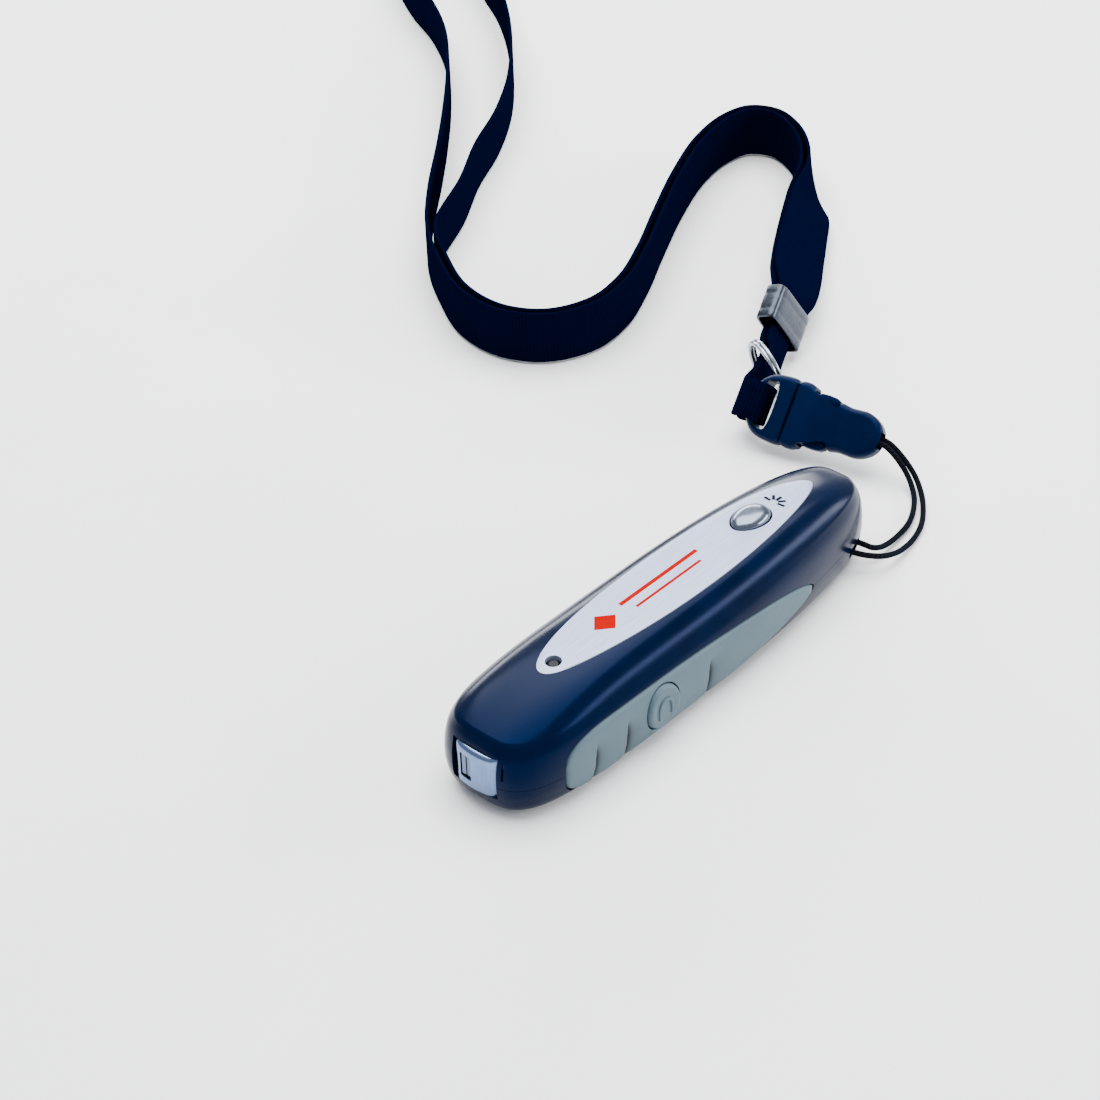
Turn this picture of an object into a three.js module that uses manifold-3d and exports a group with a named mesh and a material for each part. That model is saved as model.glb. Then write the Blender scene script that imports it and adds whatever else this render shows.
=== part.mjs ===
// Handheld banknote detector: an ultraviolet lamp and a magnetic-ink head in a pocket housing,
// with a short strap cord, a side-release buckle and a webbing neck strap.
// Millimetres, +Z up. The housing lies on its flat underside, its nose towards -Y, and the
// origin is the middle of its footprint.
import * as THREE from "three";
import { mergeVertices } from "three/addons/utils/BufferGeometryUtils.js";
import Module from "manifold-3d";

const wasm = await Module();
wasm.setup();

// ---- driving dimensions ----
const LENGTH = 109.6; // housing, nose to tail
const WIDTH = 27.7;
const RIDGE_Z = 15.6; // where the side wall turns into the crown
const CROWN = 4.4; // rise of the crown over the ridge
const NOSE_POWER = 6.5; // blunt nose
const TAIL_POWER = 1.8; // pointed, boat-like tail
const SIDE_POWER = 3.5;
const WALL = 1.8;
const FLOOR = 1.6;
const ROOF = 1.6;
const SEAM_Z = 7; // the two half shells meet here
const GAP = 0.3; // clearance between touching pieces
const SIDE_PROFILE = [[3.2, 0], [1.0, 1.7], [0.2, 4.4], [0, 7], [0.15, 10], [0.8, 13.2], [2, RIDGE_Z]];
const CROWN_SCALES = [0.93, 0.82, 0.64, 0.38];
const CROWN_POWER = 5;
const RING_POINTS = 40;

const LABEL = { y: 2.9, halfLength: 40.6, halfWidth: 7.25, tip: 1.136, thick: 0.9, proud: 0.15 };
const UV_KEY = { y: 24.3, halfLength: 4.8, halfWidth: 3.3, rise: 1.5 };
const LAMP_WINDOW = { y: -32.7, radius: 1.6 };
const GRIP = { nose: -43.9, tail: 28.6, z: 6.9, halfHeight: 6.4, pocket: 0.9, proud: 0.25 };
const MG_KEY = { y: -18.6, z: 7.6, halfLength: 4.4, halfHeight: 4.6, proud: 1.0, travel: 0.7 };
const SWITCH = { y: -20.6, bodyFrom: 6.7, bodyTo: 8.5, plungerTip: 9.2 };
const HEAD = { halfWidth: 5.2, bottom: 4.3, top: 12.8, depth: 8.5, front: -55 };
const DOOR = { halfWidth: 9.2, front: -15.7, thick: 1.45 };
const CELL = { radius: 5.15, length: 44.5, front: -14.8, x: 5.35, z: 7.3 };
const BOARD = { z: 13.3, thick: 1, halfWidth: 8.6, front: -43.2, back: 28 };
const LAMP = { y: -42.2, radius: 2.4 };
const SCREWS = [[8.3, -35], [-8.3, -35], [0, 37]];
const PIN = { x: 5, y: 47, radius: 0.9 };
const MOUTH_Z = 4.4;
const CORD_DIAMETER = 1.2;

const BUCKLE = { at: [-27.5, 73.4, 7.6], turn: 9, roll: 46.6, thick: 4.4 };
const RING = { at: [-42.6, 83.9, 7.6], inner: 5.9, outer: 7.0, height: 1.8 };
const WEB = { width: 12.7, thick: 1.0, layer: 0.95 };
const CRIMP = { at: [-51.3, 100.8, 9.1], length: 8.6, halfWidth: 7.1, inner: 1.95, wall: 0.6 };

// ---- solids ----
function solid(geometry) {
  const bare = new THREE.BufferGeometry();
  bare.setAttribute("position", geometry.getAttribute("position"));
  if (geometry.index) bare.setIndex(geometry.index);
  const merged = mergeVertices(bare, 1e-4);
  const made = new wasm.Manifold(new wasm.Mesh({
    numProp: 3,
    vertProperties: new Float32Array(merged.attributes.position.array),
    triVerts: new Uint32Array(merged.index.array),
  }));
  return made;
}

function geometryOf(manifold) {
  const mesh = manifold.getMesh();
  const geometry = new THREE.BufferGeometry();
  geometry.setAttribute("position", new THREE.BufferAttribute(new Float32Array(mesh.vertProperties), 3));
  geometry.setIndex(new THREE.BufferAttribute(new Uint32Array(mesh.triVerts), 1));
  geometry.computeVertexNormals();
  return geometry;
}

function box(x0, x1, y0, y1, z0, z1) {
  const g = new THREE.BoxGeometry(x1 - x0, y1 - y0, z1 - z0);
  g.translate((x0 + x1) / 2, (y0 + y1) / 2, (z0 + z1) / 2);
  return solid(g);
}

// A round bar along "x", "y" or "z" from a to b, centred on the other two coordinates.
function bar(axis, radius, a, b, u, v, sides = 16, endRadius = radius) {
  const g = new THREE.CylinderGeometry(endRadius, radius, b - a, sides);
  g.translate(0, (a + b) / 2, 0);
  if (axis === "z") g.rotateX(Math.PI / 2).translate(u, v, 0);
  if (axis === "x") g.rotateZ(-Math.PI / 2).translate(0, u, v);
  if (axis === "y") g.translate(u, 0, v);
  return solid(g);
}

// A closed skin through rings of equal point count, capped flat at both ends.
function loft(rings) {
  const count = rings[0].length;
  const points = rings.flat();
  const faces = [];
  for (let r = 0; r + 1 < rings.length; r += 1) {
    for (let i = 0; i < count; i += 1) {
      const a = r * count + i;
      const b = r * count + ((i + 1) % count);
      faces.push(a, b, b + count, a, b + count, a + count);
    }
  }
  for (const [ring, flip] of [[0, true], [rings.length - 1, false]]) {
    const centre = [0, 1, 2].map((k) => rings[ring].reduce((s, p) => s + p[k], 0) / count);
    const c = points.push(centre) - 1;
    for (let i = 0; i < count; i += 1) {
      const a = ring * count + i;
      const b = ring * count + ((i + 1) % count);
      faces.push(...(flip ? [c, b, a] : [c, a, b]));
    }
  }
  const g = new THREE.BufferGeometry();
  g.setAttribute("position", new THREE.Float32BufferAttribute(points.flat(), 3));
  g.setIndex(faces);
  const made = solid(g);
  if (made.volume() > 0) return made;
  g.setIndex(faces.reverse());
  return solid(g);
}

// An outline in XY, given as points, made solid from z0 to z1.
function slab(outline, z0, z1) {
  return loft([outline.map(([x, y]) => [x, y, z0]), outline.map(([x, y]) => [x, y, z1])]);
}

// ---- housing form ----
function planPoint(i, inset, scale = 1) {
  const t = -Math.cos((2 * Math.PI * i) / RING_POINTS);
  const power = t < 0 ? NOSE_POWER : TAIL_POWER;
  const w = (WIDTH / 2) * Math.max(0, 1 - Math.abs(t) ** power) ** (1 / SIDE_POWER);
  const side = i <= RING_POINTS / 2 ? 1 : -1;
  const x = side * w * (1 - inset / (WIDTH / 2)) * scale;
  const y = t * (LENGTH / 2 - inset) * scale;
  return [x, y];
}

function planRing(inset, z, scale = 1) {
  return Array.from({ length: RING_POINTS }, (_, i) => [...planPoint(i, inset, scale), z]);
}

function insetAt(z) {
  for (let k = 1; k < SIDE_PROFILE.length; k += 1) {
    const [i0, z0] = SIDE_PROFILE[k - 1];
    const [i1, z1] = SIDE_PROFILE[k];
    if (z <= z1) return i0 + ((i1 - i0) * (z - z0)) / (z1 - z0);
  }
  return SIDE_PROFILE.at(-1)[0];
}

// Half width of the housing at a height and a place along it.
function sideX(y, z) {
  const inset = insetAt(z);
  const t = y / (LENGTH / 2 - inset);
  const power = t < 0 ? NOSE_POWER : TAIL_POWER;
  const w = (WIDTH / 2) * Math.max(0, 1 - Math.abs(t) ** power) ** (1 / SIDE_POWER);
  return w * (1 - inset / (WIDTH / 2));
}

// The whole housing as one solid, drawn in by inset at the sides and trimmed at floor and roof.
function housing(inset, floor = 0, roof = 0) {
  const rings = [planRing(insetAt(floor) + inset, floor)];
  for (const [edge, z] of SIDE_PROFILE) {
    if (z > floor) rings.push(planRing(edge + inset, z - (z === RIDGE_Z ? roof : 0)));
  }
  const rim = SIDE_PROFILE.at(-1)[0] + inset;
  for (const s of CROWN_SCALES) {
    rings.push(planRing(rim, RIDGE_Z + CROWN * (1 - s ** CROWN_POWER) - roof, s));
  }
  return loft(rings);
}

// Height of the crown over a point of the plan.
function crownZ(x, y) {
  const a = WIDTH / 2 - 2;
  const b = LENGTH / 2 - 2;
  let low = 0.01;
  let high = 1.2;
  for (let k = 0; k < 30; k += 1) {
    const s = (low + high) / 2;
    const t = y / (s * b);
    const power = t < 0 ? NOSE_POWER : TAIL_POWER;
    const outside = Math.abs(x / (s * a)) ** SIDE_POWER + Math.abs(t) ** power > 1;
    if (outside) low = s;
    else high = s;
  }
  return RIDGE_Z + CROWN * (1 - low ** CROWN_POWER);
}

function ellipse(halfX, halfY, cx, cy, count, power = 1) {
  return Array.from({ length: count }, (_, i) => {
    const a = (2 * Math.PI * i) / count;
    const s = Math.sin(a);
    return [cx + halfX * Math.sign(s) * Math.abs(s) ** power, cy - halfY * Math.cos(a)];
  });
}

// The leaf-shaped name plate follows the crown from below to above.
function labelSolid(grow, below, above) {
  const outline = ellipse(LABEL.halfWidth + grow, LABEL.halfLength + grow, 0, 0, 36, LABEL.tip);
  const ringAt = (s, dz) => outline.map(([x, y]) => {
    const py = y * s + LABEL.y;
    return [x * s, py, crownZ(x * s, py) + dz];
  });
  const scales = [0.3, 0.7, 1];
  const under = scales.map((s) => ringAt(s, -below));
  const over = [...scales].reverse().map((s) => ringAt(s, above));
  return loft([...under, ...over]);
}

// Leaf outline of a side grip as (y, z) points: blunt towards the nose, pointed at the tail.
function gripOutline(grow) {
  const count = 28;
  const mid = GRIP.nose + 14;
  const points = [];
  for (let i = 0; i < count; i += 1) {
    const a = (2 * Math.PI * i) / count;
    const c = Math.cos(a);
    const s = Math.sin(a);
    const reach = c < 0 ? mid - GRIP.nose : GRIP.tail - mid;
    const square = c < 0 ? 0.62 : 1.12;
    const y = mid + Math.sign(c) * Math.abs(c) ** (c < 0 ? 0.75 : 0.8) * (reach + grow);
    const z = GRIP.z + Math.sign(s) * Math.abs(s) ** square * (GRIP.halfHeight + grow);
    points.push([y, z]);
  }
  return points;
}

// An outline of (y, z) points made solid from x0 to x1.
function sideSlab(outline, x0, x1) {
  return loft([outline.map(([y, z]) => [x0, y, z]), outline.map(([y, z]) => [x1, y, z])]);
}

function mgOutline(grow) {
  return ellipse(MG_KEY.halfLength + grow, MG_KEY.halfHeight + grow, MG_KEY.y, MG_KEY.z, 24);
}

// ---- materials ----
const paint = (color, roughness, metalness = 0) =>
  new THREE.MeshStandardMaterial({ color, roughness, metalness });
const NAVY = paint(0x001a3c, 0.2);
const SATIN_NAVY = paint(0x002048, 0.45);
const SILVER = paint(0xc8d0dc, 0.35, 0.9);
const CHROME = paint(0xb8c0cc, 0.1, 1);
const STEEL = paint(0x8d9097, 0.35, 0.9);
const GREY_RUBBER = paint(0x78919b, 0.6);
const CLEAR = paint(0xdfe8f5, 0.05);
const BLACK = paint(0x101114, 0.5);
const BOARD_GREEN = paint(0x14532f, 0.5);
const COPPER = paint(0xb06a38, 0.4, 0.8);
const WEBBING = paint(0x001048, 0.7);

const object = new THREE.Group();
function add(name, shape, material, parent = object) {
  const geometry = shape.isBufferGeometry ? shape : geometryOf(shape);
  const mesh = new THREE.Mesh(geometry, material);
  mesh.name = name;
  parent.add(mesh);
  return mesh;
}

// ---- housing shells ----
const outer = housing(0);
const cavity = housing(WALL, FLOOR, ROOF);
const hollow = outer.subtract(cavity);
const above = box(-30, 30, -80, 80, SEAM_Z + GAP / 2, 40);
const below = box(-30, 30, -80, 80, -5, SEAM_Z - GAP / 2);
const pocketFloor = housing(GRIP.pocket);
const headWindow = box(
  -HEAD.halfWidth - GAP, HEAD.halfWidth + GAP, -60, -48, HEAD.bottom - GAP, HEAD.top + GAP,
);

function gripPocket(side) {
  const slabBox = sideSlab(gripOutline(GAP), side * 5, side * 20);
  return slabBox.subtract(pocketFloor);
}
const keyHole = sideSlab(mgOutline(GAP), 9.4, 20);
const uvOutline = (grow) =>
  ellipse(UV_KEY.halfWidth + grow, UV_KEY.halfLength + grow, 0, UV_KEY.y, 24, 1.05);
const uvHole = slab(uvOutline(GAP), 16, 24);
const lampHole = bar("z", LAMP_WINDOW.radius + GAP, 15, 24, 0, LAMP_WINDOW.y, 20);
const noseStep = box(-HEAD.halfWidth - 1.6, HEAD.halfWidth + 1.6, -60, -53.9, HEAD.top + GAP, 14.4);

let upper = hollow.intersect(above);
for (const [x, y] of SCREWS) {
  const boss = bar("z", 2.5, SEAM_Z + GAP / 2, RIDGE_Z + 2.3, x, y).intersect(outer);
  upper = upper.add(boss).subtract(bar("z", 1.25, SEAM_Z, 13.5, x, y, 12));
}
const pinBoss = bar("z", 2.2, SEAM_Z + GAP / 2, RIDGE_Z, PIN.x, PIN.y).intersect(outer);
upper = upper.add(pinBoss).subtract(bar("z", PIN.radius + GAP, SEAM_Z, 12.3, PIN.x, PIN.y, 12));
upper = upper.subtract(gripPocket(1)).subtract(gripPocket(-1)).subtract(keyHole)
  .subtract(labelSolid(GAP, LABEL.thick + GAP, 6)).subtract(uvHole).subtract(lampHole)
  .subtract(headWindow).subtract(noseStep);
add("upper_shell", upper, NAVY);

const doorSlot = box(-DOOR.halfWidth - GAP, DOOR.halfWidth + GAP, DOOR.front - GAP, 70, -2, DOOR.thick + GAP);
const tongueSlot = box(-10.2, 10.2, DOOR.front + 2.7, 70, 0.35, 1.3);
const uvWindowSeat = bar("z", 3.5, -1, 1.05, 0, LAMP.y, 24);
const uvLampHole = bar("z", 2.8, -1, 6, 0, LAMP.y, 20);
let lower = hollow.intersect(below);
for (const [x, y] of SCREWS) {
  lower = lower.add(bar("z", 2.9, DOOR.thick + GAP, SEAM_Z - GAP / 2, x, y).intersect(outer));
}
const tailShelf = box(-9, 9, 43, 52, DOOR.thick + GAP, 2.9).intersect(outer);
const tailWeb = box(-9, 9, 34.5, 43, DOOR.thick + GAP, 2.9).intersect(outer);
const pocketMouth = box(5.4, 16, 44, 50, MOUTH_Z - 1.2, MOUTH_Z + 1.2);
lower = lower.add(tailShelf).add(tailWeb).subtract(pocketMouth)
  .subtract(bar("z", PIN.radius + GAP, 2, 7, PIN.x, PIN.y, 12))
  .subtract(gripPocket(1)).subtract(gripPocket(-1)).subtract(keyHole).subtract(headWindow)
  .subtract(doorSlot).subtract(tongueSlot).subtract(uvWindowSeat).subtract(uvLampHole);
for (const [x, y] of SCREWS) {
  lower = lower.subtract(bar("z", 1.25, -1, SEAM_Z, x, y, 12)).subtract(bar("z", 2.4, -1, 3.4, x, y));
}
add("lower_shell", lower, NAVY);

const doorPlate = box(-DOOR.halfWidth, DOOR.halfWidth, DOOR.front, 70, -1, DOOR.thick).intersect(outer);
const tongues = box(-9.9, 9.9, DOOR.front + 3, 27, 0.65, 1.0).intersect(outer);
let door = doorPlate.add(tongues);
for (let k = 0; k < 4; k += 1) {
  door = door.subtract(box(-4, 4, 21 + 2.4 * k, 22.2 + 2.4 * k, -1, 0.5));
}
add("battery_door", door, NAVY);

// ---- side grips and the magnetic-ink key ----
const gripSkin = housing(-GRIP.proud).subtract(housing(GRIP.pocket - GAP));
for (const [name, side] of [["right_grip", 1], ["left_grip", -1]]) {
  let grip = gripSkin.intersect(sideSlab(gripOutline(0), side * 5, side * 20));
  if (side === 1) grip = grip.subtract(sideSlab(mgOutline(GAP), 5, 20));
  add(name, grip, GREY_RUBBER);
}
// The key's face is an oval that follows the side wall and bulges out to its middle.
const mgRing = (scale, lift) => mgOutline(0).map(([y, z]) => {
  const py = MG_KEY.y + (y - MG_KEY.y) * scale;
  const pz = MG_KEY.z + (z - MG_KEY.z) * scale;
  return [sideX(py, pz) + lift, py, pz];
});
const mgFace = loft([
  mgRing(0.3, -1.4), mgRing(1, -1.4), mgRing(1, 0.3),
  mgRing(0.9, 0.85), mgRing(0.7, MG_KEY.proud), mgRing(0.3, 0.85),
]);
const mgStem = bar("x", 1.5, SWITCH.plungerTip + MG_KEY.travel + 0.4, 13, SWITCH.y, MG_KEY.z, 12);
add("mg_button", mgFace.add(mgStem), GREY_RUBBER);

// ---- name plate, ultraviolet key, lamp lens ----
const label = labelSolid(0, LABEL.thick, LABEL.proud).subtract(uvHole)
  .subtract(bar("z", LAMP_WINDOW.radius, 15, 24, 0, LAMP_WINDOW.y, 20));
add("label_plate", label, SILVER);

const uvTop = crownZ(0, UV_KEY.y) + LABEL.proud;
const domeRing = (s, z) => ellipse(UV_KEY.halfWidth * s, UV_KEY.halfLength * s, 0, UV_KEY.y, 24, 1.05)
  .map(([x, y]) => [x, y, z]);
const uvDome = loft([
  domeRing(1, 17.9), domeRing(1, uvTop + 0.1), domeRing(0.86, uvTop + UV_KEY.rise * 0.62),
  domeRing(0.55, uvTop + UV_KEY.rise * 0.92), domeRing(0.2, uvTop + UV_KEY.rise),
]);
const uvFlange = slab(ellipse(4.2, 5.7, 0, UV_KEY.y, 20), 16.9, 17.3);
const uvNeck = slab(uvOutline(-0.3), 17.0, 18.2);
add("uv_button", uvDome.add(uvFlange).add(uvNeck).add(bar("z", 1.4, 16.4, 17.1, 0, UV_KEY.y, 12)), CHROME);

// ---- magnetic head in the nose ----
const headCurve = (x0, x1, z0, z1, front) => {
  const outline = [[x0, front + 1.6], [x0 + 0.9, front + 0.35], [-1.2, front], [1.2, front],
    [x1 - 0.9, front + 0.35], [x1, front + 1.6], [x1, front + HEAD.depth], [x0, front + HEAD.depth]];
  return slab(outline, z0, z1);
};
const can = headCurve(-HEAD.halfWidth, HEAD.halfWidth, HEAD.bottom, HEAD.top, HEAD.front)
  .subtract(box(-4.4, 4.4, HEAD.front + 1.8, HEAD.front + 12, HEAD.bottom + 0.8, HEAD.top - 0.8))
  .subtract(box(-3.1, -0.3, HEAD.front - 2, HEAD.front + 3, HEAD.bottom + 1.6, HEAD.top - 1.8));
add("head_can", can, CHROME);
const core = box(-2.8, -0.6, HEAD.front + 0.45, HEAD.front + 5.5, HEAD.bottom + 1.9, HEAD.top - 2.1)
  .subtract(box(-1.85, -1.55, HEAD.front - 1, HEAD.front + 1.6, HEAD.bottom, HEAD.top));
add("head_core", core, STEEL);
const coilOuter = box(-4.1, 0.9, HEAD.front + 2.2, HEAD.front + 5.2, 5.4, 11.6);
add("head_coil", coilOuter.subtract(box(-3.1, -0.3, -60, -40, 5.9, 11.0)), COPPER);
const bracket = box(-6.4, 6.4, -46.1, -45.4, 5, 12.4);
add("head_bracket", bracket, STEEL);

// ---- electronics ----
let board = box(-BOARD.halfWidth, BOARD.halfWidth, BOARD.front, BOARD.back, BOARD.z, BOARD.z + BOARD.thick);
for (const [x, y] of SCREWS) board = board.subtract(bar("z", 2.9, 10, 18, x, y));
add("main_board", board, BOARD_GREEN);
const onBoard = BOARD.z + BOARD.thick + GAP;
const underBoard = BOARD.z - GAP;
const chip = (name, x, y, w, l, h) =>
  add(name, box(x - w / 2, x + w / 2, y - l / 2, y + l / 2, onBoard, onBoard + h), BLACK);
chip("controller_chip", 0, -4, 5, 5, 1.2);
chip("amplifier_chip", -3.6, -38.5, 4, 5, 1.2);
const uvSwitch = box(-2.25, 2.25, UV_KEY.y - 2.25, UV_KEY.y + 2.25, onBoard, onBoard + 0.7)
  .add(bar("z", 1.1, onBoard + 0.5, onBoard + 1.1, 0, UV_KEY.y, 12));
add("uv_switch", uvSwitch, BLACK);
add("buzzer", bar("z", 4.5, onBoard, onBoard + 2.4, 0, -19, 24)
  .subtract(bar("z", 0.8, onBoard + 1.5, onBoard + 5, 0, -19, 10)), BLACK);
add("indicator_lamp", bar("z", 1.45, onBoard, 18.6, 0, LAMP_WINDOW.y, 16)
  .add(bar("z", 1.45, 18.5, 19.2, 0, LAMP_WINDOW.y, 16, 0.9)), BLACK);
add("capacitor", bar("z", 2, underBoard - 5.4, underBoard, -5.6, -28.6, 16), BLACK);
add("mg_switch_board", box(5.6, 6.4, -24.6, -17.6, 4.2, underBoard), BOARD_GREEN);
const switchBody = box(SWITCH.bodyFrom, SWITCH.bodyTo, SWITCH.y - 2.25, SWITCH.y + 2.25, 5.4, 9.8);
const plunger = bar("x", 1.1, SWITCH.bodyTo - 0.1, SWITCH.plungerTip, SWITCH.y, MG_KEY.z, 12);
add("mg_switch", switchBody.add(plunger), BLACK);

const lampLeg = (x) => box(x - 0.25, x + 0.25, LAMP.y - 0.25, LAMP.y + 0.25, 7.2, underBoard);
const uvLamp = bar("z", LAMP.radius, 2.2, 7.4, 0, LAMP.y, 20)
  .add(bar("z", 1.4, 1.4, 2.3, 0, LAMP.y, 20, 2.3)).add(bar("z", 2.9, 6.6, 7.4, 0, LAMP.y, 20))
  .add(lampLeg(-1.25)).add(lampLeg(1.25));
add("uv_lamp", uvLamp, CLEAR);
add("uv_window", bar("z", 3.2, 0.15, 0.95, 0, LAMP.y, 24), CLEAR);

// ---- battery cells and contacts ----
const cellFront = CELL.front;
const cellBack = CELL.front + CELL.length;
for (const [name, x, flip] of [["cell_right", CELL.x - 0.03, 1], ["cell_left", -CELL.x + 0.03, -1]]) {
  const bodyFrom = flip === 1 ? cellFront : cellFront + 1;
  const bodyTo = flip === 1 ? cellBack - 1 : cellBack;
  const tipFrom = flip === 1 ? cellBack - 1.1 : cellFront;
  const tipTo = flip === 1 ? cellBack : cellFront + 1.1;
  const cell = bar("y", CELL.radius, bodyFrom, bodyTo, x, CELL.z, 20)
    .add(bar("y", 1.9, tipFrom, tipTo, x, CELL.z, 14));
  add(name, cell, SATIN_NAVY);
}
for (const [name, x] of [["contact_plate_right", CELL.x], ["contact_plate_left", -CELL.x]]) {
  add(name, box(x - 3.4, x + 3.4, -17.2, -16.8, 3.6, 11.4), STEEL);
}
const springs = [["contact_spring_right", CELL.x + 0.6, -16.5, cellFront - 0.3, 2.6],
  ["contact_spring_left", -CELL.x, -16.5, cellFront - 0.3, 1.9]];
for (const [name, x, from, to, r] of springs) {
  const coil = bar("y", r, from, to, x, CELL.z, 16, r * 0.7)
    .subtract(bar("y", r * 0.45, from - 1, to + 1, x, CELL.z, 12));
  add(name, coil, STEEL);
}
add("contact_bridge", box(-7.6, 7.6, cellBack + GAP, cellBack + 0.7, 4.6, 10), STEEL);

// ---- screws and the strap pin ----
SCREWS.forEach(([x, y], i) => {
  const slot = box(x - 1.5, x + 1.5, y - 0.25, y + 0.25, 0, 2.4)
    .add(box(x - 0.25, x + 0.25, y - 1.5, y + 1.5, 0, 2.4));
  const screw = bar("z", 2.05, 1.9, 3.1, x, y).add(bar("z", 0.95, 3, 12.5, x, y, 12)).subtract(slot);
  add(`case_screw_${i + 1}`, screw, STEEL);
});
add("strap_pin", bar("z", PIN.radius, 2.2, 12, PIN.x, PIN.y, 12), STEEL);

// ---- strap cord: one loop from the buckle, round the pin and back ----
const CORD_MIDDLE = [
  [-9.5, 76.3, 7.6, 0.75], [-5.4, 76.9, 7.5, 0.75], [-2.2, 77.3, 5.4, 0.75], [1.4, 76.9, 2.4, 0.75],
  [5.2, 74, 0.9, 0.8], [8.4, 69.8, 0.7, 1.0], [10.8, 65.2, 0.7, 1.3], [12.0, 60.6, 0.75, 1.6],
  [12.6, 56.2, 1.2, 1.7], [12.9, 52.4, 2.3, 1.7], [12.4, 49.4, 3.5, 1.7], [10.9, 47.6, 4.3, 1.7],
  [8.6, 47.0, MOUTH_Z, 1.75], [6.6, 47, MOUTH_Z, 1.75],
];
function strand(side) {
  return CORD_MIDDLE.map(([x, y, z, spread], i) => {
    const a = CORD_MIDDLE[Math.max(0, i - 1)];
    const b = CORD_MIDDLE[Math.min(CORD_MIDDLE.length - 1, i + 1)];
    const along = new THREE.Vector2(b[0] - a[0], b[1] - a[1]).normalize();
    return new THREE.Vector3(x - along.y * spread * side, y + along.x * spread * side, z);
  });
}
const CORD_TURN = 1.75; // radius of the cord's turn round the pin
const turn = [60, 30, 0, -30, -60].map((d) => {
  const a = (d * Math.PI) / 180;
  return new THREE.Vector3(PIN.x - CORD_TURN * Math.cos(a), PIN.y - CORD_TURN * Math.sin(a), MOUTH_Z);
});
const cordPoints = [...strand(1), ...turn, ...strand(-1).reverse()];
const cordPath = new THREE.CatmullRomCurve3(cordPoints);
const cordSection = new THREE.Shape(
  Array.from({ length: 8 }, (_, i) => new THREE.Vector2(
    (CORD_DIAMETER / 2) * Math.cos((i * Math.PI) / 4), (CORD_DIAMETER / 2) * Math.sin((i * Math.PI) / 4),
  )),
);
const sweep = { extrudePath: cordPath, steps: 60, bevelEnabled: false };
const cordTube = new THREE.ExtrudeGeometry(cordSection, sweep);
add("strap_cord", solid(cordTube), BLACK);

// ---- side-release buckle, built flat in its own frame and turned as one group ----
const degrees = Math.PI / 180;
const buckle = new THREE.Group();
const turnCos = Math.cos(BUCKLE.turn * degrees);
const turnSin = Math.sin(BUCKLE.turn * degrees);
const rollCos = Math.cos(BUCKLE.roll * degrees);
const rollSin = Math.sin(BUCKLE.roll * degrees);
const buckleX = new THREE.Vector3(turnCos, turnSin, 0);
const buckleY = new THREE.Vector3(-turnSin * rollCos, turnCos * rollCos, rollSin);
const buckleZ = new THREE.Vector3().crossVectors(buckleX, buckleY);
buckle.matrixAutoUpdate = false;
buckle.matrix.makeBasis(buckleX, buckleY, buckleZ).setPosition(...BUCKLE.at);
object.add(buckle);

const mirrored = (half) => [...half, ...[...half].reverse().map(([x, y]) => [x, -y])];
const femaleHalf = [
  [0.15, 7.4], [5.2, 7.4], [8.4, 7.1], [12.2, 6.4], [15, 5.4], [18.6, 4.2], [20.8, 3.4], [21.8, 2.2],
];
const halfThick = BUCKLE.thick / 2;
let female = slab(mirrored(femaleHalf), -halfThick, halfThick)
  .subtract(box(-1, 12.6, -6.3, 6.3, -1.35, 1.35))
  .subtract(box(14.4, 30, -1.75, 1.75, -1.6, 1.6))
  .subtract(box(12, 15, -1.2, 1.2, -0.95, 0.95));
for (const side of [1, -1]) {
  female = female.subtract(box(4.6, 10.6, side > 0 ? 4.9 : -9, side > 0 ? 9 : -4.9, -5, 5));
}
add("buckle_female", female, SATIN_NAVY, buckle);

const bailHalf = [[-0.15, 7.4], [-3.4, 7.4], [-6.2, 6.9], [-8.4, 5.4], [-9.7, 3.2], [-10, 1.2]];
const male = slab(mirrored(bailHalf).reverse(), -halfThick, halfThick)
  .subtract(box(-7.2, -3.6, -5.5, 5.5, -5, 5))
  .add(box(-1, 9, -1.2, 1.2, -0.95, 0.95));
const prongSeats = box(-1.2, 1, 2.6, 5.2, -1.2, 1.2).add(box(-1.2, 1, -5.2, -2.6, -1.2, 1.2));
add("buckle_male", male.subtract(prongSeats), SATIN_NAVY, buckle);
for (const [name, side] of [["prong_upper", 1], ["prong_lower", -1]]) {
  const outline = [[-0.9, 2.9], [2, 3.1], [6, 3.6], [8.8, 3.9], [10.2, 4.3], [10.2, 5.4], [9, 5.9],
    [5.2, 6.0], [4.9, 5.0], [1, 4.9], [-0.9, 4.9]].map(([x, y]) => [x, y * side]);
  add(name, slab(outline, -0.9, 0.9), SATIN_NAVY, buckle);
}

// ---- webbing: flat ribbons swept along a path with a width direction at each point ----
function ribbon(stops, width, thick, shift, steps) {
  const path = new THREE.CatmullRomCurve3(stops.map(([p]) => new THREE.Vector3(...p)));
  const across = new THREE.CatmullRomCurve3(stops.map(([, w]) => new THREE.Vector3(...w)));
  const rings = [];
  for (let i = 0; i <= steps; i += 1) {
    const u = i / steps;
    const tangent = path.getTangent(u);
    const w = across.getPoint(u).normalize();
    const n = new THREE.Vector3().crossVectors(tangent, w).normalize();
    const middle = path.getPoint(u).addScaledVector(n, shift);
    rings.push([[1, 1], [-1, 1], [-1, -1], [1, -1]].map(([a, b]) => middle.clone()
      .addScaledVector(w, (a * width) / 2).addScaledVector(n, (b * thick) / 2).toArray()));
  }
  return loft(rings);
}

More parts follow.
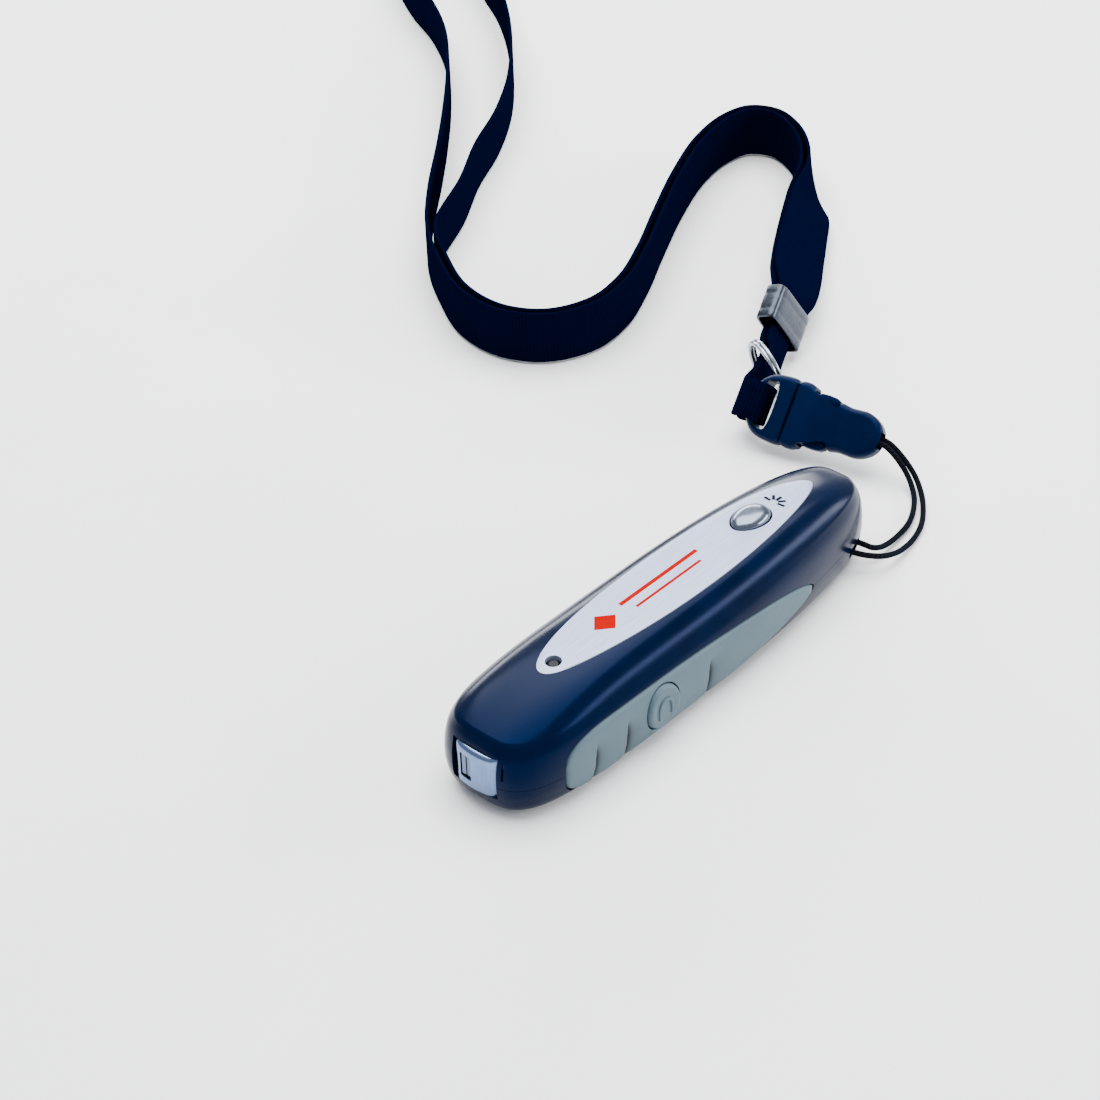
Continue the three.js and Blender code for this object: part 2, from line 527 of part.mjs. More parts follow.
const crimpAcross = new THREE.Vector3(0.192, 0.493, -0.85).normalize();
const crimpAlong = new THREE.Vector3(0.299, -0.853, -0.428).normalize();
const crimpNormal = new THREE.Vector3().crossVectors(crimpAcross, crimpAlong);
const fromCrimp = (d) => new THREE.Vector3(...CRIMP.at).addScaledVector(crimpAlong, d).toArray();
const crimpDown = crimpAcross.toArray();
const DOWN = [0, 0, -1];
const EDGE_Z = 6.6; // middle of the webbing where it stands on its edge
const LEANING = [0.55, 0.42, -0.72];
const SHARED_ROUTE = [
  [fromCrimp(-0.6), crimpDown], [fromCrimp(-4.2), crimpDown], [[-55.9, 110.4, 10], [0.5, 0.45, -0.74]],
  [[-61.2, 118.2, 8.2], [0.68, 0.47, -0.56]], [[-67.6, 127.6, 7], [0.72, 0.45, -0.53]],
  [[-74.2, 138, 6.8], [0.66, 0.44, -0.61]], [[-80.6, 148.2, 6.7], LEANING],
  [[-87, 157, 6.6], [0.2, 0.15, -0.97]],
  [[-94.4, 164.4, 6.6], DOWN], [[-102.6, 170.9, 6.6], DOWN], [[-110.6, 173.6, 6.6], DOWN],
  [[-116.6, 171, 6.6], DOWN], [[-118.5, 163.6, 6.6], DOWN], [[-116.4, 151, 6.6], DOWN],
  [[-109.6, 134, 6.6], DOWN], [[-100.6, 116, 6.6], DOWN], [[-92.2, 100, 6.6], DOWN],
  [[-86.8, 86.8, 6.6], DOWN], [[-85.6, 75, 6.6], DOWN], [[-90.2, 65, 6.6], DOWN],
  [[-99.4, 60, 6.6], DOWN], [[-112, 61, 6.6], DOWN], [[-126, 68.4, 6.6], DOWN], [[-138, 77.2, 6.6], DOWN],
];
const FREE_LEFT = [
  [-150.4, 90.6], [-164.2, 108], [-176.4, 122.8], [-191.6, 140], [-208.6, 156.6], [-224, 167.4],
  [-240, 175.6], [-256, 186], [-268.9, 198.1], [-273, 208], [-268.9, 217.9], [-259.6, 222],
];
const FREE_RIGHT = [
  [-149, 97.6], [-158.6, 113], [-166.6, 128.8], [-177.2, 145], [-190.6, 160.6], [-205.4, 175],
  [-219.6, 186.4], [-233, 195], [-243, 202.4], [-246.4, 210], [-250.6, 218.4], [-258.4, 222],
];
const upright = (points) => points.map(([x, y]) => [[x, y, EDGE_Z], DOWN]);
const STRAPS = [["neck_strap_left", FREE_LEFT, 1], ["neck_strap_right", FREE_RIGHT, -1]];
for (const [name, free, side] of STRAPS) {
  add(name, ribbon([...SHARED_ROUTE, ...upright(free)], WEB.width, WEB.thick, WEB.layer * side, 78), WEBBING);
}

const crimpFrame = new THREE.Group();
crimpFrame.matrixAutoUpdate = false;
crimpFrame.matrix.makeBasis(crimpAcross, crimpAlong, crimpNormal).setPosition(...CRIMP.at);
object.add(crimpFrame);
const crimpOut = CRIMP.inner + CRIMP.wall;
const crimpInside = CRIMP.halfWidth - CRIMP.wall + 0.1;
const crimp = box(-CRIMP.halfWidth, CRIMP.halfWidth, -CRIMP.length / 2, CRIMP.length / 2, -crimpOut, crimpOut)
  .subtract(box(-crimpInside, crimpInside, -10, 10, -CRIMP.inner, CRIMP.inner));
add("crimp", crimp, STEEL, crimpFrame);

// ---- hanger loop: from the crimp through the ring, round the bail and back ----
const HANGER = { width: 8.4, thick: 1.0, layer: 0.85 };
const inBuckle = (x, y, z) => new THREE.Vector3(x, y, z).applyMatrix4(buckle.matrix).toArray();
const bailAcross = buckleY.clone().multiplyScalar(-1).toArray();
const hangerHalf = (side) => [
  [fromCrimp(0.8), crimpDown, side * HANGER.layer], [fromCrimp(4.4), crimpDown, side * HANGER.layer],
  [[-46.9, 91.2, 7.4], [0.24, 0.3, -0.92], side * HANGER.layer],
  [RING.at, [0.2, -0.2, -0.96], side * HANGER.layer],
];
const roundBail = [[-13.2, 1.4], [-10.4, 2.9], [-8.3, 3.2], [-5.9, 2.8]];
const hangerStops = [
  ...hangerHalf(1),
  ...roundBail.map(([x, z]) => [inBuckle(x, 0, z), bailAcross, 0]),
  [inBuckle(-5.4, 0, 0), bailAcross, 0],
  ...[...roundBail].reverse().map(([x, z]) => [inBuckle(x, 0, -z), bailAcross, 0]),
  ...hangerHalf(-1).reverse(),
];
function hangerLoop() {
  const lift = hangerStops.map(([p, w, shift], i) => {
    const a = new THREE.Vector3(...hangerStops[Math.max(0, i - 1)][0]);
    const b = new THREE.Vector3(...hangerStops[Math.min(hangerStops.length - 1, i + 1)][0]);
    if (shift === 0) return [p, w];
    const along = b.sub(a).normalize().multiplyScalar(i < hangerStops.length / 2 ? 1 : -1);
    const n = new THREE.Vector3().crossVectors(along, new THREE.Vector3(...w)).normalize();
    return [new THREE.Vector3(...p).addScaledVector(n, shift).toArray(), w];
  });
  return ribbon(lift, HANGER.width, HANGER.thick, 0, 44);
}
add("hanger_loop", hangerLoop(), WEBBING);

const ringFrame = new THREE.Group();
const ringNormal = new THREE.Vector3(0.4, 0.88, 0.25).normalize();
ringFrame.quaternion.setFromUnitVectors(new THREE.Vector3(0, 1, 0), ringNormal);
ringFrame.position.set(...RING.at);
object.add(ringFrame);
const ringHalf = RING.height / 2;
const ringProfile = [[RING.inner, -ringHalf], [RING.outer, -ringHalf], [RING.outer, ringHalf],
  [RING.inner, ringHalf], [RING.inner, -ringHalf]].map(([r, h]) => new THREE.Vector2(r, h));
add("split_ring", solid(new THREE.LatheGeometry(ringProfile, 28)), STEEL, ringFrame);

export default object;
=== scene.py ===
# %% [markdown]
# # A pocket banknote checker on a neck strap
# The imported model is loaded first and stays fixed. It says where every part sits, which body it
# moves with and how big the whole object is. Everything made below is placed from it, in metres.

# %% Load the frame
import math

import bmesh
import bpy
from mathutils import Matrix, Vector, noise


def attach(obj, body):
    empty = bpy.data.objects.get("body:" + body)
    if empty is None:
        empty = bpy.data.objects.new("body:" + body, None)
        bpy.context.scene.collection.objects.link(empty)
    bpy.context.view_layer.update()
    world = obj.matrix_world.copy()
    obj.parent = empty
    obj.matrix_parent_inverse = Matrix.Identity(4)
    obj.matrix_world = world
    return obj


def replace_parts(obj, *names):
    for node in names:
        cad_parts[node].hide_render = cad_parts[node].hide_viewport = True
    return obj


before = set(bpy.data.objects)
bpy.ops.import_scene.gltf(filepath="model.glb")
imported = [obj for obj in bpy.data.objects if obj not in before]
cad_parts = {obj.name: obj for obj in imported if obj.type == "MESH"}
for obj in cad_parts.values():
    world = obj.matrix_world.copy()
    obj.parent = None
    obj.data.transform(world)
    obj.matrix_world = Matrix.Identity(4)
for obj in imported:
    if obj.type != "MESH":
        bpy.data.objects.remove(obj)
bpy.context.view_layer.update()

MM = 0.001

# %% [markdown]
# ## Camera
# A short telephoto lens from above the nose, a little over half a metre away, keeps the long
# housing nearly free of perspective. Turning the camera by three plain angles, one after another,
# is easier to read than a rotation matrix: a turn about the vertical, a tilt down and a slight roll.

# %% Camera
CAMERA_AT = Vector((253.6, -301.7, 317.5)) * MM
CAMERA_TURN = math.radians(43.29)
CAMERA_DROP = math.radians(36.42)
CAMERA_ROLL = math.radians(-2.12)

camera_data = bpy.data.cameras.new("camera")
camera_data.lens = 85.8
camera_data.sensor_width = 36
camera_data.clip_start = 0.01
camera = bpy.data.objects.new("camera", camera_data)
bpy.context.scene.collection.objects.link(camera)
camera.location = CAMERA_AT
aim = Matrix.Rotation(CAMERA_TURN, 3, "Z") @ Matrix.Rotation(math.pi / 2 - CAMERA_DROP, 3, "X")
camera.rotation_euler = (aim @ Matrix.Rotation(CAMERA_ROLL, 3, "Z")).to_euler()
bpy.context.scene.camera = camera
print("camera height above the table, m:", round(camera.location.z, 3))

# %% [markdown]
# ## Colours and nodes
# A colour is easiest to choose as the sRGB hex value of a swatch, while shaders work with linear
# light, so one function turns one into the other. One more function adds any node, sets it up and
# links it, which keeps each material to a few readable lines.

# %% Colour and node helpers
def linear(hex_colour):
    """An sRGB hex colour as linear RGBA."""
    channels = [int(hex_colour[i:i + 2], 16) / 255 for i in (1, 3, 5)]
    curve = [c / 12.92 if c <= 0.04045 else ((c + 0.055) / 1.055) ** 2.4 for c in channels]
    return (*curve, 1.0)


def add_node(tree, kind, inputs=None, **settings):
    """Adds a node. A socket given as an input is linked, anything else is set as its value."""
    made = tree.nodes.new(kind)
    for key, value in settings.items():
        setattr(made, key, value)
    for key, value in (inputs or {}).items():
        if isinstance(value, bpy.types.NodeSocket):
            tree.links.new(value, made.inputs[key])
        else:
            made.inputs[key].default_value = value
    return made


def new_material(name, **values):
    """A Principled material with these values set on its own sockets."""
    material = bpy.data.materials.new(name)
    material.use_nodes = True
    tree = material.node_tree
    shader = tree.nodes["Principled BSDF"]
    for key, value in values.items():
        shader.inputs[key.replace("_", " ")].default_value = value
    return material, tree, shader


def ramp(tree, factor, stops):
    """A colour ramp through (position, colour) stops."""
    made = add_node(tree, "ShaderNodeValToRGB", {"Fac": factor})
    elements = made.color_ramp.elements
    while len(elements) < len(stops):
        elements.new(0.5)
    for element, (position, colour) in zip(elements, stops):
        element.position = position
        element.color = colour if not isinstance(colour, str) else linear(colour)
    return made.outputs["Color"]


def multiply(tree, kind, a, b):
    """The product of two inputs, for kind Math or VectorMath."""
    return add_node(tree, "ShaderNode" + kind, {0: a, 1: b}, operation="MULTIPLY").outputs[0]


def object_mm(tree, scale=(1, 1, 1)):
    """Object coordinates in millimetres, stretched by scale."""
    place = add_node(tree, "ShaderNodeTexCoord").outputs["Object"]
    factor = tuple(s / MM for s in scale)
    return multiply(tree, "VectorMath", place, factor)


def grain(tree, where, size_mm, detail=3.0, roughness=0.5):
    """Noise whose features are about size_mm across."""
    settings = {"Vector": where, "Scale": 1 / size_mm, "Detail": detail, "Roughness": roughness}
    return add_node(tree, "ShaderNodeTexNoise", settings).outputs["Fac"]


def vary(tree, factor, low, high):
    """Maps 0..1 onto low..high."""
    inputs = {"Value": factor, "To Min": low, "To Max": high}
    return add_node(tree, "ShaderNodeMapRange", inputs).outputs["Result"]


def bumped(tree, shader, height, strength, depth_mm):
    inputs = {"Height": height, "Strength": strength, "Distance": depth_mm * MM}
    normal = add_node(tree, "ShaderNodeBump", inputs).outputs["Normal"]
    tree.links.new(normal, shader.inputs["Normal"])


def moulded_plastic(name, dark, light, roughness, texture_mm, depth_mm,
                    ior=1.5, level=0.5, glint="#FFFFFF"):
    """Moulded plastic: a tint that drifts slowly, a fine texture and slightly uneven gloss.
    Level is the strength of its reflections and glint their colour."""
    material, tree, shader = new_material(
        name, IOR=ior, Specular_IOR_Level=level, Specular_Tint=linear(glint))
    where = object_mm(tree)
    tint = ramp(tree, grain(tree, where, 14.0), [(0.3, dark), (0.7, light)])
    tree.links.new(tint, shader.inputs["Base Color"])
    rough = vary(tree, grain(tree, where, 3.5, 6.0), roughness * 0.8, roughness * 1.25)
    tree.links.new(rough, shader.inputs["Roughness"])
    bumped(tree, shader, grain(tree, where, texture_mm, 4.0), 0.35, depth_mm)
    return material


def metal(name, dark, light, roughness, stretch=(1, 1, 1), line_mm=0.25, depth_mm=0.004, **values):
    """Metal with a fine finish whose marks run along the axis with the smallest stretch."""
    material, tree, shader = new_material(name, **{"Metallic": 1.0, **values})
    where = object_mm(tree, stretch)
    marks = grain(tree, where, line_mm, 5.0, 0.65)
    tint = ramp(tree, marks, [(0.25, dark), (0.75, light)])
    tree.links.new(tint, shader.inputs["Base Color"])
    tree.links.new(vary(tree, marks, roughness * 0.7, roughness * 1.3), shader.inputs["Roughness"])
    bumped(tree, shader, marks, 0.4, depth_mm)
    return material


# %% [markdown]
# ## Finishes
# Each finish is named for what the real part is made of. The housing is glossy moulded ABS, whose
# only texture is the faint orange peel of the mould. The buckle is acetal, a duller plastic with a
# spark-eroded surface. Both are so dark that a white reflection would turn them grey, so their
# reflections are weak and blue. The grips are a soft thermoplastic rubber. Shade is painted into
# their finish: it darkens where the mesh says that a point lies in a crease.

# %% Plastics and rubber
NAVY_LEVEL, NAVY_GLINT = 0.14, "#3F6CC4"
HOUSING_ABS = moulded_plastic(
    "glossy_navy_abs", "#00081C", "#000C26", 0.2, 2.2, 0.004, 1.5, NAVY_LEVEL, NAVY_GLINT)
BUCKLE_ACETAL = moulded_plastic(
    "satin_navy_acetal", "#000B26", "#00102E", 0.36, 0.35, 0.02, 1.48, NAVY_LEVEL, NAVY_GLINT)
GRIP_TPE = moulded_plastic("grey_soft_touch_tpe", "#3F535C", "#485C65", 0.5, 0.3, 0.02, 1.5, 0.25)
grip_tree = GRIP_TPE.node_tree
grip_shader = grip_tree.nodes["Principled BSDF"]
# Painted shade: the grip's colour is darkened where a point lies deep in a crease.
grip_crease_shade_mask = add_node(grip_tree, "ShaderNodeAttribute", attribute_name="crease").outputs["Fac"]
grip_painted_crease_shade = ramp(grip_tree, grip_crease_shade_mask, [(0.0, "#FFFFFF"), (1.0, "#2E3A44")])
grip_tint = grip_shader.inputs["Base Color"].links[0].from_socket
grip_tint = multiply(grip_tree, "VectorMath", grip_tint, grip_painted_crease_shade)
grip_tree.links.new(grip_tint, grip_shader.inputs["Base Color"])
BLACK_NYLON = moulded_plastic("black_nylon", "#0B0C0E", "#141518", 0.45, 0.3, 0.02)
SMOKED_LENS = moulded_plastic("smoked_lens", "#050507", "#08080B", 0.12, 2.0, 0.004)
print("plastics:", HOUSING_ABS.name, BUCKLE_ACETAL.name, GRIP_TPE.name, BLACK_NYLON.name,
      SMOKED_LENS.name)

# %% [markdown]
# Metals keep the default IOR: their colour at grazing angles comes from the metallic setting. The
# name plate is brushed along its length, so its marks are long in Y and narrow in X.

# %% Metals
LABEL_ALUMINIUM = metal(
    "brushed_anodised_aluminium", "#8791AE", "#A2ACC8", 0.46, (1, 0.03, 1), 0.3, 0.006, Metallic=0.45,
)
CHROME_PLATE = metal("polished_chrome", "#5E6674", "#6E7684", 0.22, (1, 1, 1), 3.0, 0.002)
HEAD_STEEL = metal("lapped_head_steel", "#566A8C", "#6E83A8", 0.24, (1, 1, 0.05), 0.2, 0.006)
NICKEL_STEEL = metal("nickel_plated_steel", "#7F848D", "#A9AEB6", 0.24, (1, 1, 1), 0.8, 0.006)
CRIMP_STEEL = metal("dull_pressed_steel", "#2E323B", "#424852", 0.3, (1, 1, 1), 0.8, 0.006)
COPPER_WIRE = metal("enamelled_copper_wire", "#8A4A22", "#B8683A", 0.35, (0.2, 4, 4), 0.4, 0.03)
CORE_LAMINATE = metal("laminated_core_iron", "#4A5870", "#66758F", 0.35, (6, 1, 0.1), 0.3, 0.02)

# %% [markdown]
# Clear parts let light through, so transmission and a plastic's IOR make them. The circuit board
# is glass epoxy under green solder mask, and the cells wear a printed plastic sleeve.

# %% Clear plastic, board and cell sleeve
CLEAR_POLYCARBONATE, clear_tree, clear_shader = new_material(
    "clear_polycarbonate", Base_Color=linear("#E8EEF8"), IOR=1.58, Transmission_Weight=0.9,
)
clear_rough = vary(clear_tree, grain(clear_tree, object_mm(clear_tree), 2.0), 0.04, 0.12)
clear_tree.links.new(clear_rough, clear_shader.inputs["Roughness"])

SOLDER_MASK, board_tree, board_shader = new_material("green_solder_mask", IOR=1.5, Roughness=0.3)
board_cells = add_node(
    board_tree, "ShaderNodeTexVoronoi", {"Vector": object_mm(board_tree), "Scale": 0.6},
    feature="DISTANCE_TO_EDGE").outputs["Distance"]
board_tint = ramp(board_tree, board_cells, [(0.06, "#2E7A4A"), (0.1, "#0F4A28")])
board_tree.links.new(board_tint, board_shader.inputs["Base Color"])
bumped(board_tree, board_shader, board_cells, 0.2, 0.03)

CELL_SLEEVE, cell_tree, cell_shader = new_material("printed_cell_sleeve", IOR=1.5, Metallic=0.3)
cell_place = add_node(cell_tree, "ShaderNodeSeparateXYZ", {0: object_mm(cell_tree)}).outputs["Y"]
CELL_FOOT_Y, CELL_CAP_Y = -14.8, 29.7
cell_band = add_node(cell_tree, "ShaderNodeMapRange", {
    "Value": cell_place, "From Min": CELL_FOOT_Y, "From Max": CELL_CAP_Y}).outputs["Result"]
cell_tint = ramp(cell_tree, cell_band, [
    (0.0, "#16181E"), (0.7, "#1D2029"), (0.72, "#B5763A"), (1.0, "#C58445")])
cell_tree.links.new(cell_tint, cell_shader.inputs["Base Color"])
cell_rough = vary(cell_tree, grain(cell_tree, object_mm(cell_tree), 1.5), 0.2, 0.4)
cell_tree.links.new(cell_rough, cell_shader.inputs["Roughness"])
print("cell sleeve printed over", CELL_CAP_Y - CELL_FOOT_Y, "mm")

# %% [markdown]
# Webbing is woven: weft threads cross it as fine ribs, and rows of warp run along it. The meshes
# below carry a "weave" attribute that holds, in millimetres, how far along and across the strap
# each point is, and the pattern is drawn from that, so it follows every bend and twist.

# %% Woven and braided finishes
RIB_MM = 0.75
WARP_MM = 0.85


def woven(name, dark, light, rib_mm, warp_mm, depth_mm, roughness, sheen):
    """Cloth ribs from the weave attribute: X is along, Y is across, in millimetres."""
    material, tree, shader = new_material(
        name, IOR=1.45, Sheen_Weight=sheen, Sheen_Roughness=0.4, Sheen_Tint=linear("#5A74B4"),
        Specular_IOR_Level=0.0)
    weave = add_node(tree, "ShaderNodeAttribute", attribute_name="weave").outputs["Vector"]
    axes = add_node(tree, "ShaderNodeSeparateXYZ", {0: weave})
    waves = []
    for axis, period in (("X", rib_mm), ("Y", warp_mm)):
        turns = multiply(tree, "Math", axes.outputs[axis], 2 * math.pi / period)
        waves.append(add_node(tree, "ShaderNodeMath", {0: turns}, operation="SINE").outputs[0])
    crossed = multiply(tree, "Math", waves[0], waves[1])
    height = add_node(tree, "ShaderNodeMath", {0: waves[0], 1: 0.6, 2: crossed},
                      operation="MULTIPLY_ADD").outputs[0]
    thread = vary(tree, grain(tree, weave, 1.6, 5.0), -0.5, 0.5)
    height = add_node(tree, "ShaderNodeMath", {0: height, 1: thread}, operation="ADD").outputs[0]
    inputs = {"Value": height, "From Min": -1.6, "From Max": 1.6}
    level = add_node(tree, "ShaderNodeMapRange", inputs).outputs["Result"]
    tree.links.new(ramp(tree, level, [(0.2, dark), (0.8, light)]), shader.inputs["Base Color"])
    tree.links.new(vary(tree, level, roughness * 1.1, roughness * 0.85), shader.inputs["Roughness"])
    bumped(tree, shader, level, 0.7, depth_mm)
    return material


SATIN_WEBBING = woven("navy_satin_webbing", "#000212", "#000521", RIB_MM, WARP_MM, 0.12, 0.65, 0.0)
BRAIDED_CORD = woven("black_braided_polyester", "#050506", "#17181C", 0.9, 0.6, 0.1, 0.6, 0.15)

# %% [markdown]
# Printing ink is a thin, matt layer. The red emblem and the grey key mark get their own ink.

# %% Printing inks
def ink(name, colour):
    material, tree, shader = new_material(name, IOR=1.5, Specular_IOR_Level=0.0)
    speck = grain(tree, object_mm(tree), 0.4)
    darker = tuple(0.85 * c for c in linear(colour)[:3]) + (1.0,)
    tree.links.new(ramp(tree, speck, [(0.3, darker), (0.6, colour)]), shader.inputs["Base Color"])
    tree.links.new(vary(tree, speck, 0.4, 0.6), shader.inputs["Roughness"])
    return material


RED_INK = ink("red_screen_ink", "#9C0000")
GREY_INK = ink("graphite_screen_ink", "#1A1E26")

# %% [markdown]
# ## Mesh tools
# Most pieces here are skins through a row of rings: a housing, a pad, a strap and a ring of wire
# all work that way. A few pieces then have another shape cut out of them with a Boolean modifier,
# which is applied at once so that later steps see the finished mesh.

# %% Mesh helpers
def add_piece(name, verts, faces, material, body, slot, scale=MM):
    """A mesh piece from points in millimetres, riding on a body."""
    mesh = bpy.data.meshes.new(name)
    mesh.from_pydata([tuple(c * scale for c in v) for v in verts], [], faces)
    builder = bmesh.new()
    builder.from_mesh(mesh)
    bmesh.ops.remove_doubles(builder, verts=builder.verts, dist=1e-7)
    bmesh.ops.recalc_face_normals(builder, faces=builder.faces)
    builder.to_mesh(mesh)
    builder.free()
    piece = bpy.data.objects.new(name, mesh)
    bpy.context.scene.collection.objects.link(piece)
    if material:
        mesh.materials.append(material)
    if body:
        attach(piece, body)
    return piece


def skin(rings, closed=False):
    """Vertices and faces of a surface through rings of equal length, capped unless closed."""
    count = len(rings[0])
    verts = [p for ring in rings for p in ring]
    faces = []
    spans = len(rings) if closed else len(rings) - 1
    for r in range(spans):
        a, b = r * count, ((r + 1) % len(rings)) * count
        faces += [(a + i, a + (i + 1) % count, b + (i + 1) % count, b + i) for i in range(count)]
    if not closed:
        faces.append(tuple(reversed(range(count))))
        faces.append(tuple(range((len(rings) - 1) * count, len(rings) * count)))
    return verts, faces


def apply_modifiers(piece):
    """Bakes the piece's modifiers into its mesh."""
    graph = bpy.context.evaluated_depsgraph_get()
    baked = bpy.data.meshes.new_from_object(piece.evaluated_get(graph), depsgraph=graph)
    piece.modifiers.clear()
    old = piece.data
    piece.data = baked
    baked.name = old.name
    bpy.data.meshes.remove(old)


def boolean(piece, tools, operation="DIFFERENCE", solver="EXACT"):
    """Cuts (or joins) closed shapes into a piece and throws the shapes away."""
    for tool in tools:
        step = piece.modifiers.new("cut", "BOOLEAN")
        step.operation = operation
        step.solver = solver
        step.object = tool
    apply_modifiers(piece)
    for tool in tools:
        mesh = tool.data
        bpy.data.objects.remove(tool)
        bpy.data.meshes.remove(mesh)
    return piece


def bevel(piece, width_mm, segments=3, angle=35):
    step = piece.modifiers.new("edge", "BEVEL")
    step.width = width_mm * MM
    step.segments = segments
    step.limit_method = "ANGLE"
    step.angle_limit = math.radians(angle)
    step.harden_normals = False
    return piece


def smooth(piece, angle=32):
    """Smooth shading except across edges sharper than angle."""
    piece.data.polygons.foreach_set("use_smooth", [True] * len(piece.data.polygons))
    piece.data.set_sharp_from_angle(angle=math.radians(angle))
    return piece


def tool_shape(rings):
    """A closed shape to cut with."""
    return add_piece("tool", *skin(rings), None, None, None)


def tool_box(x0, x1, y0, y1, z0, z1):
    corners = [(x0, y0), (x1, y0), (x1, y1), (x0, y1)]
    return tool_shape([[(x, y, z) for x, y in corners] for z in (z0, z1)])


def disc(radius, x, y, z, count=48):
    turn = [2 * math.pi * i / count for i in range(count)]
    return [(x + radius * math.cos(a), y + radius * math.sin(a), z) for a in turn]


# %% [markdown]
# ## Smooth paths
# A soft line passes through a few given points. The centripetal Catmull-Rom curve goes
# through all of them without overshooting, so it suits both cords and moulded profiles.

# %% Path helpers
def catmull(points, per_span):
    """Centripetal Catmull-Rom through points of any dimension, per_span samples to each span."""
    first = [2 * a - b for a, b in zip(points[0], points[1])]
    last = [2 * a - b for a, b in zip(points[-1], points[-2])]
    ends = [first, *points, last]
    made = []
    for k in range(1, len(ends) - 2):
        p = ends[k - 1:k + 3]
        knots = [0.0]
        for a, b in zip(p, p[1:]):
            knots.append(knots[-1] + max(1e-6, math.dist(a[:3], b[:3])) ** 0.5)
        for step in range(per_span):
            t = knots[1] + (knots[2] - knots[1]) * step / per_span

            def mix(a, b, t0, t1):
                return [u + (v - u) * (t - t0) / (t1 - t0) for u, v in zip(a, b)]
            a1, a2, a3 = (mix(p[i], p[i + 1], knots[i], knots[i + 1]) for i in range(3))
            b1, b2 = mix(a1, a2, knots[0], knots[2]), mix(a2, a3, knots[1], knots[3])
            made.append(mix(b1, b2, knots[1], knots[2]))
    return [*made, list(points[-1])]


def length_of(points):
    return sum(math.dist(a, b) for a, b in zip(points, points[1:]))


def directions(points):
    """The unit direction of travel at each point."""
    pairs = [(points[max(0, i - 1)], points[min(len(points) - 1, i + 1)]) for i in range(len(points))]
    return [(Vector(b) - Vector(a)).normalized() for a, b in pairs]


def store_weave(piece, values):
    """Keeps how far along and across the cloth each vertex is, in millimetres."""
    layer = piece.data.attributes.new("weave", "FLOAT_VECTOR", "POINT")
    layer.data.foreach_set("vector", [c for v in values for c in v])


# %% [markdown]
# ## Strap cord
# The thin cord is one loop: out of the buckle, down to the table, round a steel pin in the tail
# and back. It is a round tube swept along that one route. A tube's frame must not spin, so each
# ring turns only as much as the path does.

# %% Strap cord
CORD_MM = 1.2
PIN_X, PIN_Y, MOUTH_Z, TURN_MM = 5, 47, 4.4, 1.75
CORD_MIDDLE = [
    (-9.5, 76.3, 7.6, 0.75), (-5.4, 76.9, 7.5, 0.75), (-2.2, 77.3, 5.4, 0.75), (1.4, 76.9, 2.4, 0.75),
    (5.2, 74, 0.9, 0.8), (8.4, 69.8, 0.7, 1.0), (10.8, 65.2, 0.7, 1.3), (12.0, 60.6, 0.75, 1.6),
    (12.6, 56.2, 1.2, 1.7), (12.9, 52.4, 2.3, 1.7), (12.4, 49.4, 3.5, 1.7), (10.9, 47.6, 4.3, 1.7),
    (8.6, 47.0, MOUTH_Z, 1.75), (6.6, 47, MOUTH_Z, 1.75),
]


def strand(side):
    """One strand of the doubled cord, to the left or right of the middle line."""
    made = []
    for i, (x, y, z, spread) in enumerate(CORD_MIDDLE):
        a, b = CORD_MIDDLE[max(0, i - 1)], CORD_MIDDLE[min(len(CORD_MIDDLE) - 1, i + 1)]
        along = Vector((b[0] - a[0], b[1] - a[1])).normalized()
        made.append([x - along.y * spread * side, y + along.x * spread * side, z])
    return made


def tube(name, points, radius, sides, material, body, slot):
    """A round tube through points, with a frame that is carried along without spinning."""
    travel = directions(points)
    across = travel[0].orthogonal().normalized()
    rings, weave, along = [], [], 0.0
    for i, (p, d) in enumerate(zip(points, travel)):
        across = (across - d * across.dot(d)).normalized()
        up = d.cross(across)
        if i:
            along += math.dist(p, points[i - 1])
        ring = []
        for k in range(sides):
            a = 2 * math.pi * k / sides
            ring.append(tuple(Vector(p) + (across * math.cos(a) + up * math.sin(a)) * radius))
            weave.append((along + radius * math.sin(a), radius * a, 0))
        rings.append(ring)
    piece = add_piece(name, *skin(rings), material, body, slot)
    store_weave(piece, weave)
    return smooth(piece, 60)


turn_points = [[PIN_X - TURN_MM * math.cos(math.radians(d)),
                PIN_Y - TURN_MM * math.sin(math.radians(d)), MOUTH_Z]
               for d in (60, 30, 0, -30, -60)]
cord_points = catmull([*strand(1), *turn_points, *reversed(strand(-1))], 8)
strap_cord = tube("strap_cord_loop", cord_points, CORD_MM / 2, 12, BRAIDED_CORD, "housing", "cord")
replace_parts(strap_cord, "strap_cord")
print("strap cord length, mm:", round(length_of(cord_points), 1))

# %% [markdown]
# ## Neck strap
# The webbing stands on its edge on the table, as a stiff flat ribbon does when it curves. Near the
# crimp it rolls over, so the route carries a width direction beside each point. The two layers
# share one middle line and sit just either side of it until they part. They meet again end to end
# at the neck, which closes the loop.

# %% Neck strap route
WEB_MM, WEB_THICK, LAYER = 12.7, 0.9, 0.95
CRIMP_AT = Vector((-51.3, 100.8, 9.1))
CRIMP_ACROSS = Vector((0.192, 0.493, -0.85)).normalized()
CRIMP_ALONG = Vector((0.299, -0.853, -0.428)).normalized()
DOWN = (0, 0, -1)
LEANING = (0.55, 0.42, -0.72)
EDGE_Z = 6.6


def from_crimp(distance):
    return tuple(CRIMP_AT + CRIMP_ALONG * distance)


